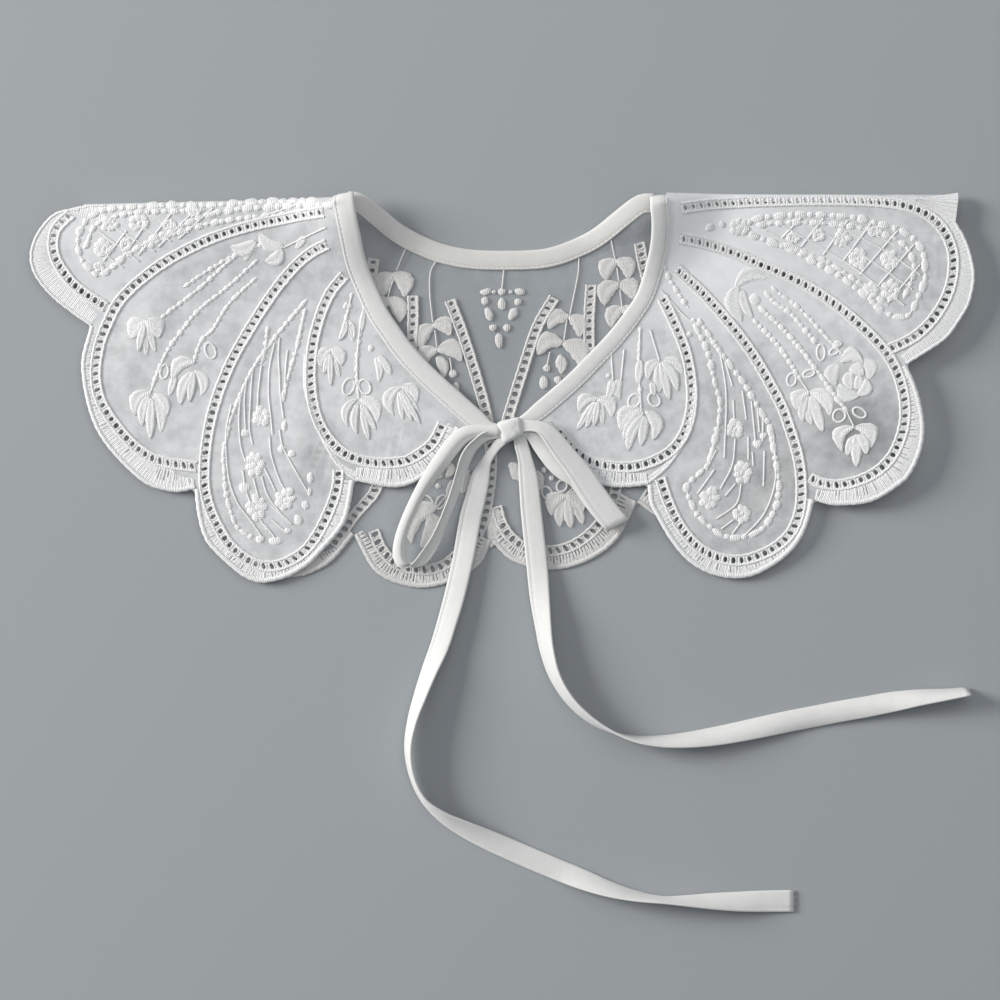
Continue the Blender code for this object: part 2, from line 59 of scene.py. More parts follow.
SHOULDER_POINTS = ((-66.0, 91.0), (68.0, 92.0))
LACE_WALL = 1.0
BACK_LAY = 0.55
SEAM_GAP = 0.3

# Outer edge of each back petal, from the left shoulder to the right one. Columns: x, y
BACK_PETALS = (
    ((-191, 86.2), (-197, 71), (-189, 50), (-178, 34)),
    ((-178, 34), (-182, 14), (-176, -12), (-159, -31), (-136, -33)),
    ((-136, -33), (-129, -60), (-110, -80), (-93, -81), (-85, -78.6), (-76.8, -73.6), (-67, -62)),
    ((-67, -62), (-57, -79), (-40, -86), (-24, -84), (-10, -76), (-4, -65)),
    ((-4, -65), (6, -74), (22, -78), (38, -75), (53, -65), (63, -47)),
    ((63, -47), (74, -54), (92, -58), (110, -55), (129, -46), (138, -32), (140, -18)),
    ((140, -18), (160, -6), (179, 8), (191, 25), (198, 46)),
    ((198, 46), (201, 60), (201, 72), (206, 90.5)),
)
# Centre lines of the ladders of eyelets on the back. Columns: x, y
BACK_LADDERS = (
    ((-58, 65), (-60, 52), (-65, 28), (-76, -5), (-88, -36)),
    ((-40, 48), (-40, 34), (-42, 16), (-48, -20), (-57, -41), (-61, -46.5), (-66, -52),
     (-70.5, -58), (-77, -67)),
    ((-23, 46), (-17, 30), (-11, 11), (-6, -8), (-4, -28), (-6, -48), (-10, -61), (-23, -74),
     (-33, -78), (-46, -76), (-54, -69), (-58, -60)),
    ((25, 47), (17, 33), (10, 12), (5, -4), (2, -14)),
    ((42, 53), (41, 34), (42, 14), (47, -15), (52, -27), (53, -42), (45, -58), (31, -68),
     (15, -69), (6, -64), (1, -57), (-1.5, -49)),
    ((64, 72), (67, 58), (74, 37), (92, 0), (101, -32)),
)
# Middle of the back neck binding. Columns: x, y
BACK_BINDING = (
    (-69.5, 90.6), (-65.6, 90.2), (-62.0, 88.4), (-55.7, 83.3), (-46.9, 76.4), (-35.9, 70.8),
    (-24.4, 66.7), (-9.7, 64.4), (13.8, 64.4), (25.8, 66.2), (37.7, 70.8), (46, 75.4), (56.1, 83.3),
    (61.6, 87.5), (65.4, 89.5), (71.0, 89.6),
)
BACK_BINDING_WIDTH = 9.0
# Soft creases in the back. Columns: x and y of both ends, height (minus for a trough), half width
BACK_CREASES = (
    (-52, -46, -46, -70, 0.5, 3.0),
    (-38, -44, -30, -68, -0.4, 3.5),
    (14, -40, 20, -62, 0.4, 3.5),
    (34, -34, 38, -60, -0.4, 3.0),
    (-6, 52, -2, 8, 0.25, 5.0),
)

Fold = namedtuple("Fold", "neck_x tip_x neck_y tip_y neck_radius tip_radius hem_lift")
FOLD_LEFT = Fold(-76.0, -193.0, 92.5, 89.8, 4.0, 3.0, 0.6)
FOLD_RIGHT = Fold(76.6, 210.0, 94.4, 94.2, 4.2, 3.2, 5.0)


def run_lengths(points):
    """Length along a path at each of its points."""
    spans = np.linalg.norm(np.diff(points, axis=0), axis=1)
    return np.concatenate(([0.0], np.cumsum(spans)))


def rows_at(places, lengths, rows):
    """The rows of a path read off at one or more lengths along it."""
    return np.array([np.interp(places, lengths, column) for column in rows.T]).T


def even_rows(rows, step):
    """Rows about one step apart in plan. The first two columns are x and y."""
    rows = np.asarray(rows, dtype=float)
    lengths = run_lengths(rows[:, :2])
    places = np.linspace(0.0, lengths[-1], max(1, round(lengths[-1] / step)) + 1)
    return rows_at(places, lengths, rows)


def smooth_rows(rows, step):
    """Smooth curve through rows of numbers, with rows about one step apart in plan."""
    knots = np.asarray(rows, dtype=float)
    knots = np.vstack((2 * knots[0] - knots[1], knots, 2 * knots[-1] - knots[-2]))
    dense = []
    for before, start, end, after in zip(knots, knots[1:], knots[2:], knots[3:]):
        for t in np.arange(CURVE_SAMPLES) / CURVE_SAMPLES:
            linear = (end - before) * t
            square = (2 * before - 5 * start + 4 * end - after) * t ** 2
            cube = (3 * start - before - 3 * end + after) * t ** 3
            dense.append((2 * start + linear + square + cube) / 2)
    dense.append(knots[-2])
    return even_rows(dense, step)


def left_of(path):
    """Unit vectors in plan to the left of a path's direction, one for each point."""
    ahead = np.gradient(path[:, :2], axis=0)
    ahead /= np.linalg.norm(ahead, axis=1)[:, None]
    return np.column_stack((-ahead[:, 1], ahead[:, 0]))


def ease(t):
    """Falls smoothly from 1 at t = 0 to 0 at t = 1 and beyond."""
    t = np.clip(t, 0.0, 1.0)
    return (1 - t) ** 2 * (1 + 2 * t)


def path_distance(points, path):
    """Distance in plan from each point to a path."""
    points = np.asarray(points, dtype=float)
    nearest = np.full(len(points), np.inf)
    for start, end in zip(path[:-1, :2], path[1:, :2]):
        along = end - start
        share = np.clip((points - start) @ along / (along @ along), 0.0, 1.0)
        nearest = np.minimum(nearest, np.linalg.norm(start + share[:, None] * along - points, axis=1))
    return nearest


def crease_height(creases, x, y):
    """Height that a table of soft creases adds at each place."""
    points = np.column_stack((np.ravel(x), np.ravel(y)))
    total = np.zeros(len(points))
    for start_x, start_y, end_x, end_y, height, half_width in creases:
        start = np.array((start_x, start_y), dtype=float)
        along = np.array((end_x, end_y), dtype=float) - start
        share = (points - start) @ along / (along @ along)
        reach = np.linalg.norm(start + share[:, None] * along - points, axis=1)
        ends = ease(np.abs(share - 0.5) * 2 - 0.2)
        total += height * np.exp(-(reach / half_width) ** 2) * ends
    return total.reshape(np.shape(x))


def back_height(x, y):
    """Underside of the back: flat on the table, raised at the shoulder points of the neck."""
    rise = 0.0
    for apex in SHOULDER_POINTS:
        rise = rise + SHOULDER_RISE * ease(np.hypot(x - apex[0], y - apex[1]) / SHOULDER_REACH)
    return rise


def back_cloth(x, y):
    """Height of the back's organza."""
    return back_height(x, y) + BACK_LAY + np.maximum(crease_height(BACK_CREASES, x, y), -0.4)


def fold_share(fold, x):
    """0 at the neck end of a shoulder fold and 1 at its outer tip."""
    return (x - fold.neck_x) / (fold.tip_x - fold.neck_x)


def fold_radius(fold, x):
    """Outer radius of the roll at a place along the fold."""
    return fold.neck_radius + (fold.tip_radius - fold.neck_radius) * fold_share(fold, x)


def roll_start(fold, x):
    """The y at which the front panel ends and the roll begins."""
    return fold.neck_y + (fold.tip_y - fold.neck_y) * fold_share(fold, x) - fold_radius(fold, x)


def cloth_finish(name, white, sheer, sheer_spread, weave_pitch, roughness):
    """Woven cloth: crossed threads that thin out the cloth between them, with a soft sheen. Its colour
    carries painted shade where the piece's attribute is low and painted light where it is high.
    """
    material = bpy.data.materials.new(name)
    material.use_nodes = True
    nodes = material.node_tree.nodes
    link = material.node_tree.links.new
    surface = nodes["Principled BSDF"]
    surface.inputs["Roughness"].default_value = roughness
    surface.inputs["Sheen Weight"].default_value = 0.25
    surface.inputs["Sheen Roughness"].default_value = 0.45
    surface.inputs["Specular IOR Level"].default_value = 0.35
    place = nodes.new("ShaderNodeTexCoord")
    threads = []
    for axis in ("X", "Y"):
        wave = nodes.new("ShaderNodeTexWave")
        wave.bands_direction = axis
        wave.inputs["Scale"].default_value = math.pi / (10 * weave_pitch * MM)
        wave.inputs["Distortion"].default_value = 0.6
        wave.inputs["Detail"].default_value = 1.0
        link(place.outputs["Object"], wave.inputs["Vector"])
        threads.append(wave)
    weave = nodes.new("ShaderNodeMath")
    weave.operation = "MAXIMUM"
    link(threads[0].outputs["Fac"], weave.inputs[0])
    link(threads[1].outputs["Fac"], weave.inputs[1])
    cloud = nodes.new("ShaderNodeTexNoise")
    cloud.inputs["Scale"].default_value = 140.0
    cloud.inputs["Detail"].default_value = 5.0
    cloud.inputs["Roughness"].default_value = 0.6
    link(place.outputs["Object"], cloud.inputs["Vector"])
    # The colour mixes random cloud tone with painted shade and light: the attribute on each piece
    # darkens it toward 0.45 of the white where low and lightens it where high.
    tint = nodes.new("ShaderNodeMix")
    tint.data_type = "RGBA"
    tint.inputs["A"].default_value = (*(channel * 0.45 for channel in white), 1.0)
    tint.inputs["B"].default_value = (*white, 1.0)
    cover_and_painted_light = nodes.new("ShaderNodeAttribute")
    cover_and_painted_light.attribute_name = "cover_and_painted_light"
    shade = nodes.new("ShaderNodeMath")
    shade.operation = "MULTIPLY_ADD"
    shade.inputs[1].default_value = 3.0
    link(cover_and_painted_light.outputs["Fac"], shade.inputs[0])
    link(cloud.outputs["Fac"], shade.inputs[2])
    tone_and_painted_light = nodes.new("ShaderNodeMapRange")
    tone_and_painted_light.inputs["From Min"].default_value = -0.4
    tone_and_painted_light.inputs["From Max"].default_value = 0.6
    link(shade.outputs["Value"], tone_and_painted_light.inputs["Value"])
    link(tone_and_painted_light.outputs["Result"], tint.inputs["Factor"])
    link(tint.outputs["Result"], surface.inputs["Base Color"])
    bump = nodes.new("ShaderNodeBump")
    bump.inputs["Strength"].default_value = 0.25
    bump.inputs["Distance"].default_value = 0.0001
    link(weave.outputs["Value"], bump.inputs["Height"])
    link(bump.outputs["Normal"], surface.inputs["Normal"])
    if sheer < 1.0:
        mixed = nodes.new("ShaderNodeMath")
        mixed.operation = "MULTIPLY_ADD"
        mixed.inputs[1].default_value = 0.5
        link(weave.outputs["Value"], mixed.inputs[0])
        link(cloud.outputs["Fac"], mixed.inputs[2])
        density = nodes.new("ShaderNodeMapRange")
        density.inputs["From Min"].default_value = 0.3
        density.inputs["From Max"].default_value = 1.3
        density.inputs["To Min"].default_value = sheer - sheer_spread
        density.inputs["To Max"].default_value = sheer + sheer_spread
        link(mixed.outputs["Value"], density.inputs["Value"])
        thicker = nodes.new("ShaderNodeMath")
        thicker.operation = "ADD"
        thicker.use_clamp = True
        link(density.outputs["Result"], thicker.inputs[0])
        link(cover_and_painted_light.outputs["Fac"], thicker.inputs[1])
        link(thicker.outputs["Value"], surface.inputs["Alpha"])
    return material


# The back is the same organza as the fronts. Its darker colour stands partly for the wrong side and
# partly is painted shade for the neck opening under the raised shoulders and binding.
ORGANZA_BACK_WITH_PAINTED_SHADE = cloth_finish("organza_wrong_side_and_painted_shade", (0.55, 0.58, 0.61), 0.32, 0.10, 0.35, 0.5)
# Where the back holds back more or less light than the rest, its colour going darker or lighter with
# it.
# The negative patches in the neck opening are painted shade, and the raised ones under the fronts and
# round the left bow loop are painted light over shadow. Columns: x, y, reach, added cover
BACK_COVER_AND_PAINTED_LIGHT = (
    (0, 14, 32, -0.20), (-34, 41, 20, -0.14), (-150, 40, 52, 0.36), (-114, -24, 28, 0.30),
    (-88, 26, 20, 0.22), (110, 56, 30, 0.18), (112, -16, 22, 0.12), (7, -55, 16, -0.08),
    (-27, -60, 18, 0.16), (-60, -56, 14, 0.06),
)


def cloth_cover_and_painted_light(patches, verts):
    """How much more or less of the light each point of the cloth holds back, and how much painted shade
    or light its colour gets.
    """
    verts = np.asarray(verts, dtype=float)
    total = np.zeros(len(verts))
    for x, y, reach, amount in patches:
        total += amount * np.exp(-((verts[:, 0] - x) ** 2 + (verts[:, 1] - y) ** 2) / reach ** 2)
    return total


def set_cover_and_painted_light(piece, patches):
    """Write the cloth's cover and painted light on a piece, where its material reads it."""
    places = np.zeros(len(piece.data.vertices) * 3)
    piece.data.vertices.foreach_get("co", places)
    values = cloth_cover_and_painted_light(patches, places.reshape(-1, 3) / MM)
    layer = piece.data.attributes.new("cover_and_painted_light", "FLOAT", "POINT")
    layer.data.foreach_set("value", values.astype(np.float32))


def make_piece(name, verts, faces, finish, uvs=None):
    """A named mesh piece in the collar's one body."""
    mesh = bpy.data.meshes.new(name)
    mesh.from_pydata((np.asarray(verts) * MM).tolist(), [], [tuple(face) for face in faces])
    if uvs is not None:
        layer = mesh.uv_layers.new(name="thread_run")
        corners = np.zeros(len(mesh.loops), dtype=np.int32)
        mesh.loops.foreach_get("vertex_index", corners)
        layer.data.foreach_set("uv", np.asarray(uvs, dtype=np.float32)[corners].ravel())
    mesh.shade_smooth()
    mesh.validate()
    mesh.materials.append(finish)
    piece = bpy.data.objects.new(name, mesh)
    bpy.context.scene.collection.objects.link(piece)
    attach(piece, "root")
    return piece


def inside(points, outline):
    """Which points in plan are inside a closed outline."""
    odd = np.zeros(len(points), dtype=bool)
    for start, end in zip(outline, np.roll(outline, -1, axis=0)):
        if start[1] == end[1]:
            continue
        spans = (start[1] > points[:, 1]) != (end[1] > points[:, 1])
        crossing = start[0] + (points[:, 1] - start[1]) * (end[0] - start[0]) / (end[1] - start[1])
        odd ^= spans & (crossing > points[:, 0])
    return odd


def cut_cloth(outline, ladders, surface):
    """Points and triangles of a sheet of organza, cut open inside its ladders."""
    coords = list(outline)
    edges = []
    loops = []
    for ladder in ladders:
        side = left_of(ladder) * (LADDER_WIDTH / 2 - 0.5)
        loop = np.vstack((ladder + side, (ladder - side)[::-1]))
        loops.append(loop)
        first = len(coords)
        coords += list(loop)
        edges += [(i, i + 1) for i in range(first, len(coords) - 1)] + [(len(coords) - 1, first)]
    low = outline.min(axis=0)
    high = outline.max(axis=0)
    grid_x, grid_y = np.meshgrid(np.arange(low[0], high[0], ORGANZA_STEP),
                                 np.arange(low[1], high[1], ORGANZA_STEP))
    grid_x = grid_x + (np.arange(len(grid_x)) % 2)[:, None] * ORGANZA_STEP / 2
    field = np.column_stack((grid_x.ravel(), grid_y.ravel()))
    field = field[inside(field, outline)]
    for border in [np.vstack((outline, outline[:1]))] + ladders:
        field = field[path_distance(field, border) > ORGANZA_CLEARANCE]
    coords += list(field)
    cut = delaunay_2d_cdt(
        [Vector(point) for point in coords], edges, [list(range(len(outline)))], 1, 1e-4)
    found = cut[0]
    plan = np.array([(point.x, point.y) for point in found])
    triangles = np.array(cut[2])
    middles = plan[triangles].mean(axis=1)
    kept = np.ones(len(triangles), dtype=bool)
    for loop in loops:
        kept &= ~inside(middles, loop)
    verts = np.column_stack((plan, surface(plan[:, 0], plan[:, 1])))
    return verts, triangles[kept].tolist()


def scalloped_edge(petals, inset):
    """The scalloped edge of a panel, moved in from the outer edge."""
    edge = []
    for petal in petals:
        curve = smooth_rows(petal, 2.5)
        edge.append((curve + left_of(curve) * inset)[1:-1])
    return np.vstack(edge)


def fold_edge(fold, start_x, end_x, gap):
    """Points along a shoulder fold, where the roll begins."""
    xs = np.linspace(start_x, end_x, round(abs(end_x - start_x) / ORGANZA_STEP) + 1)
    return np.column_stack((xs, roll_start(fold, xs) - gap))


back_binding_path = smooth_rows(BACK_BINDING, 3.0)
back_neck_edge = (back_binding_path - left_of(back_binding_path)
                  * (BACK_BINDING_WIDTH / 2 - 1.0))[::-1]
back_outline = np.vstack((
    fold_edge(FOLD_LEFT, -69.0, -188.0, SEAM_GAP), scalloped_edge(BACK_PETALS, ORGANZA_HEM_INSET),
    fold_edge(FOLD_RIGHT, 203.0, 71.0, SEAM_GAP), back_neck_edge))
back_ladders = [smooth_rows(ladder, 1.2) for ladder in BACK_LADDERS]
verts, faces = cut_cloth(back_outline, back_ladders, back_cloth)
back_organza = make_piece("organza_back", verts, faces, ORGANZA_BACK_WITH_PAINTED_SHADE)
set_cover_and_painted_light(back_organza, BACK_COVER_AND_PAINTED_LIGHT)

# Embroidery of the back. Satin-stitched ladders follow each petal: two corded rails with worked
# eyelets between them. Outside them the hem is a band of ribs, closed by a corded satin rim.
# All of it is white rayon thread on the organza. Its wrong side is given a darker colour than its face,
# partly for its duller side and partly as painted shade where the shoulders shadow the neck opening.
EYELET_PITCH = 3.75
EYELET_LONG = 1.55
EYELET_SHORT = 1.0
RAIL_OFFSET = 2.1
RAIL_WIDTH = 1.25
RIB_PITCH = 1.75
RIM_WIDTH = 2.4
HEM_BAND_MOST = 11.0
HEM_BAND_LEAST = 2.2
BACK_OPENNESS = 1.0
FRONT_OPENNESS = 0.86
BACK_SLITS = 0.8


def thread_finish(name, white, roughness, thread_pitch):
    """Satin stitch: parallel threads with a grainy, silky surface, painted darker in the grooves
    between threads as shade.
    """
    material = bpy.data.materials.new(name)
    material.use_nodes = True
    nodes = material.node_tree.nodes
    link = material.node_tree.links.new
    surface = nodes["Principled BSDF"]
    surface.inputs["Roughness"].default_value = roughness
    surface.inputs["Sheen Weight"].default_value = 0.2
    surface.inputs["Sheen Roughness"].default_value = 0.4
    surface.inputs["Specular IOR Level"].default_value = 0.25
    run = nodes.new("ShaderNodeUVMap")
    run.uv_map = "thread_run"
    wave = nodes.new("ShaderNodeTexWave")
    wave.bands_direction = "X"
    wave.inputs["Scale"].default_value = math.pi / (10 * thread_pitch)
    wave.inputs["Distortion"].default_value = 2.5
    wave.inputs["Detail"].default_value = 2.0
    link(run.outputs["UV"], wave.inputs["Vector"])
    place = nodes.new("ShaderNodeTexCoord")
    grain = nodes.new("ShaderNodeTexNoise")
    grain.inputs["Scale"].default_value = 900.0
    grain.inputs["Detail"].default_value = 4.0
    grain.inputs["Roughness"].default_value = 0.7
    link(place.outputs["Object"], grain.inputs["Vector"])
    grooves_and_grain = nodes.new("ShaderNodeMath")
    grooves_and_grain.operation = "MULTIPLY_ADD"
    grooves_and_grain.inputs[1].default_value = 0.45
    link(wave.outputs["Fac"], grooves_and_grain.inputs[0])
    link(grain.outputs["Fac"], grooves_and_grain.inputs[2])
    shade = nodes.new("ShaderNodeMapRange")
    shade.inputs["From Min"].default_value = 0.45
    shade.inputs["From Max"].default_value = 0.95
    link(grooves_and_grain.outputs["Value"], shade.inputs["Value"])
    # The colour is darkened in the grooves between threads as painted shade, and mottled by the random
    # grain.
    tint = nodes.new("ShaderNodeMix")
    tint.data_type = "RGBA"
    tint.inputs["A"].default_value = (*(channel * 0.74 for channel in white), 1.0)
    tint.inputs["B"].default_value = (*white, 1.0)
    link(shade.outputs["Result"], tint.inputs["Factor"])
    link(tint.outputs["Result"], surface.inputs["Base Color"])
    bump = nodes.new("ShaderNodeBump")
    bump.inputs["Strength"].default_value = 0.7
    bump.inputs["Distance"].default_value = 0.0004
    link(grooves_and_grain.outputs["Value"], bump.inputs["Height"])
    link(bump.outputs["Normal"], surface.inputs["Normal"])
    return material


class Stitches:
    """Raised stitching that is gathered into one mesh on the cloth of a panel."""

    def __init__(self, cloth):
        self.cloth = cloth
        self.verts = []
        self.uvs = []
        self.faces = []

    def add(self, plan, lifts, faces, uvs):
        """Add points given in plan with their lift above the cloth."""
        plan = np.asarray(plan, dtype=float)
        first = len(self.verts)
        heights = self.cloth(plan[:, 0], plan[:, 1]) + np.asarray(lifts, dtype=float)
        self.verts += np.column_stack((plan, heights)).tolist()
        self.uvs += np.asarray(uvs, dtype=float).tolist()
        self.faces += [tuple(first + i for i in face) for face in faces]

    def piece(self, name, finish):
        """The finished mesh piece."""
        return make_piece(name, self.verts, self.faces, finish, self.uvs)


def ring_faces(rings, count):
    """Quads between closed rings of points, each with the same count."""
    return [(ring * count + i, ring * count + (i + 1) % count,
             (ring + 1) * count + (i + 1) % count, (ring + 1) * count + i)
            for ring in range(rings - 1) for i in range(count)]


def spin(angle):
    """Matrix that turns rows of x and y counterclockwise by an angle."""
    return np.array(((math.cos(angle), math.sin(angle)), (-math.sin(angle), math.cos(angle))))


def strip_faces(rows, columns):
    """Quads of a grid with the given numbers of rows and columns of points."""
    return [(row * columns + column, row * columns + column + 1,
             (row + 1) * columns + column + 1, (row + 1) * columns + column)
            for row in range(rows - 1) for column in range(columns - 1)]


def cord(stitches, path, width, lift, base=-0.15):
    """A half-round corded line along a path."""
    path = np.asarray(path, dtype=float)
    side = left_of(path)
    profile = ((-0.5, base), (-0.38, lift * 0.75), (0.0, lift), (0.38, lift * 0.75), (0.5, base))
    lengths = run_lengths(path)
    plan = np.concatenate([[point + normal * width * across for across, _ in profile]
                           for point, normal in zip(path, side)])
    lifts = np.tile([height for _, height in profile], len(path))
    uvs = [(length, across * width) for length in lengths for across, _ in profile]
    stitches.add(plan, lifts, strip_faces(len(path), len(profile)), uvs)


def eyelet_ring():
    """Outline of one ladder cell, from -1 to 1 each way."""
    sides = np.linspace(-1.0, 1.0, 5)[:-1]
    square = [(s, -1.0) for s in sides] + [(1.0, s) for s in sides]
    square += [(-s, 1.0) for s in sides] + [(-1.0, -s) for s in sides]
    return np.array(square)


def ladder(stitches, path, seed, openness):
    """A ladder of worked eyelets between two corded rails. They open wider away from its start."""
    lengths = run_lengths(path)
    side = left_of(path)
    cells = max(1, round(lengths[-1] / EYELET_PITCH))
    pitch = lengths[-1] / cells
    square = eyelet_ring()
    angles = np.arctan2(square[:, 1], square[:, 0])
    rounded = np.column_stack((np.sign(np.cos(angles)) * np.abs(np.cos(angles)) ** 0.8,
                               np.sign(np.sin(angles)) * np.abs(np.sin(angles)) ** 0.8))
    varied = np.random.default_rng(seed)
    for cell in range(cells):
        size = openness * (0.72 + 0.28 * min(1.0, 2.2 * (cell + 1) / cells))
        slant = 0.5 + 0.5 * math.sin(cell * 0.37 + seed)
        long = EYELET_LONG * size * (0.88 + 0.16 * slant + varied.uniform(-0.1, 0.1))
        short = EYELET_SHORT * size * (1.06 - 0.34 * slant + varied.uniform(-0.12, 0.12))
        lean = math.radians(6 + 18 * slant + varied.uniform(-8, 8))
        hole = rounded * (min(short, pitch * 0.36), long)
        hole = hole @ spin(lean)
        outer = square * (pitch / 2, LADDER_WIDTH / 2 - 0.2)
        raised = varied.uniform(0.8, 1.2, (3, len(square)))
        rings = []
        lifts = []
        for share, lift, level in ((0.0, -0.2, 0), (0.0, 0.1, 0), (0.22, 0.42, 1), (0.6, 0.34, 1),
                                   (1.0, 0.12, 0)):
            rings.append(hole + (outer - hole) * share)
            lifts += (lift * (raised[len(rings) % 3] if level else 1.0)
                      * np.ones(len(square))).tolist()
        local = np.vstack(rings)
        along = (cell + 0.5) * pitch + local[:, 0]
        centre = rows_at(along, lengths, path)
        normal = rows_at(along, lengths, side)
        faces = ring_faces(len(rings), len(square))
        uvs = np.column_stack((np.arctan2(local[:, 1], local[:, 0]) * 2.0, local[:, 0]))
        stitches.add(centre + normal * local[:, 1:2], lifts, faces, uvs)
    knotted = np.sin(lengths / pitch * math.tau + seed) * 0.09
    knotted += varied.uniform(-0.06, 0.06, len(lengths))
    for offset in (-RAIL_OFFSET, RAIL_OFFSET):
        rail = path + side * (offset + math.copysign(1.0, offset) * knotted)[:, None]
        cord(stitches, rail, RAIL_WIDTH, 0.55)


def hem_band(stitches, petal, ladders, inward, seed, slits, rim_width=RIM_WIDTH, relief=1.0):
    """The band between a petal's ladder and its corded rim, with short slits beside the ladder."""
    edge = smooth_rows(petal, RIB_PITCH / 4)
    side = left_of(edge) * inward
    reach = np.min([path_distance(edge, path) for path in ladders], axis=0) - LADDER_WIDTH / 2
    widths = np.clip(reach + 0.5, HEM_BAND_LEAST, HEM_BAND_MOST)
    window = np.ones(41) / 41
    widths = np.convolve(np.pad(widths, 20, mode="edge"), window, mode="valid")
    shares = np.array((0.0, 0.2, 0.42, 0.62, 0.92, 1.0))
    crown = np.array((0.15, 0.34, 0.42, 0.42, 0.36, 0.1))
    ribs = len(edge) // 4 + 1
    varied = np.random.default_rng(seed)
    rib = np.tile((0.62, 1.0, 0.96, 0.62), ribs)[:len(edge)]
    uneven = np.repeat(varied.uniform(0.75, 1.2, ribs), 4)[:len(edge)]
    plan = np.concatenate([point + normal * width * shares[:, None]
                           for point, normal, width in zip(edge, side, widths)])
    lifts = (rib * uneven)[:, None] * crown[None, :] * varied.uniform(0.85, 1.15,
                                                                      (len(edge), len(crown)))
    lengths = np.arange(len(edge)) * RIB_PITCH / 4
    uvs = [(length, width * share) for length, width in zip(lengths, widths) for share in shares]
    columns = len(shares)
    opened = varied.random(ribs)
    faces = []
    for row in range(len(edge) - 1):
        chance = opened[row // 4] if row % 4 == 3 and widths[row] > 3.6 else 2.0
        slit = (3,) if chance < slits / 2 else (2, 3) if chance < slits else ()
        for column in range(columns - 1):
            if column in slit:
                continue
            corner = row * columns + column
            faces.append((corner, corner + 1, corner + columns + 1, corner + columns))
    stitches.add(plan, lifts.ravel() * relief, faces, uvs)
    rim = smooth_rows(petal, 0.8)
    rim_side = left_of(rim) * inward
    waver = np.sin(np.arange(len(rim)) * 1.3 + seed) * 0.07 + varied.uniform(-0.07, 0.07, len(rim))
    cord(stitches, rim + rim_side * (rim_width / 2 - 0.2 + waver[:, None]), rim_width,
         0.24 * rim_width)


# The wrong-side thread is darker than the face thread, partly for its duller side and partly as painted
# shade.
WRONG_SIDE_THREAD_WITH_PAINTED_SHADE = thread_finish("rayon_thread_wrong_side_and_painted_shade", (0.76, 0.75, 0.73), 0.75, 0.8)
FACE_THREAD = thread_finish("rayon_thread_face", (0.93, 0.93, 0.92), 0.7, 0.8)

back_stitches = Stitches(back_cloth)
for i, path in enumerate(back_ladders):
    ladder(back_stitches, path, 10 + i, BACK_OPENNESS)
for i, petal in enumerate(BACK_PETALS):
    hem_band(back_stitches, petal, back_ladders, 1, 30 + i, BACK_SLITS)
back_stitching = back_stitches.piece("stitching_back", WRONG_SIDE_THREAD_WITH_PAINTED_SHADE)

# Sprays on the back. Satin-stitched leaves, tulips, beads and thread loops are worked in the same
# rayon inside each petal. Their wrong side shows in the neck opening and below the fronts.
# Places and sizes in the spray tables are in the photograph's pixels.
PIXEL = 0.46
MIDDLE_PIXEL_X = 500.0
MIDDLE_PIXEL_Y = 400.0
LEAF_ROWS = 14
LEAF_LIFT = 0.42
LEAF_FULLNESS = 1.3
BEAD_LIFT = 0.5
BEAD_SIDES = 10
THREAD_WIDTH = 0.78
LOOP_THREAD_WIDTH = 1.05


def from_photo(x, y):
    """A place on the collar from its place in the photograph."""
    return np.array(((x - MIDDLE_PIXEL_X) * PIXEL, (MIDDLE_PIXEL_Y - y) * PIXEL))


def satin_leaf(stitches, base, tip, half_width, bend, order=0):
    """A satin-stitched leaf with a sunken midrib and ragged edges. Later ones lie higher."""
    base = from_photo(*base)
    run = from_photo(*tip) - base
    length = np.linalg.norm(run)
    side = np.array((-run[1], run[0])) / length
    half = half_width * PIXEL * LEAF_FULLNESS
    across = np.array((-1.0, -0.86, -0.6, -0.3, 0.0, 0.3, 0.6, 0.86, 1.0))
    domed = np.array((-0.1, 0.55, 0.9, 1.0, 0.45, 1.0, 0.9, 0.55, -0.1))
    varied = np.random.default_rng(int(abs(base[0] * 31) + abs(run[1] * 17)))
    plan = []
    lifts = []
    uvs = []
    for share in np.linspace(0.0, 1.0, LEAF_ROWS):
        middle = base + run * share + side * bend * length * 4 * share * (1 - share)
        width = half * math.sin(math.pi * share ** 0.82) ** 0.55 if 0 < share < 1 else 0.08
        ragged = 1 + varied.uniform(-0.09, 0.09, (len(across), 1)) * (np.abs(across) > 0.9)[:, None]
        plan.append(middle + side * width * across[:, None] * ragged)
        height = LEAF_LIFT * (0.5 + 0.5 * math.sin(math.pi * share))
        lifts.append(domed * height * varied.uniform(0.75, 1.2, len(across)) + 0.07 * order)
        uvs.append(np.column_stack((share * length - np.abs(across) * width * 0.8,
                                    across * width)))
    stitches.add(np.vstack(plan), np.concatenate(lifts), strip_faces(LEAF_ROWS, len(across)),
                 np.vstack(uvs))


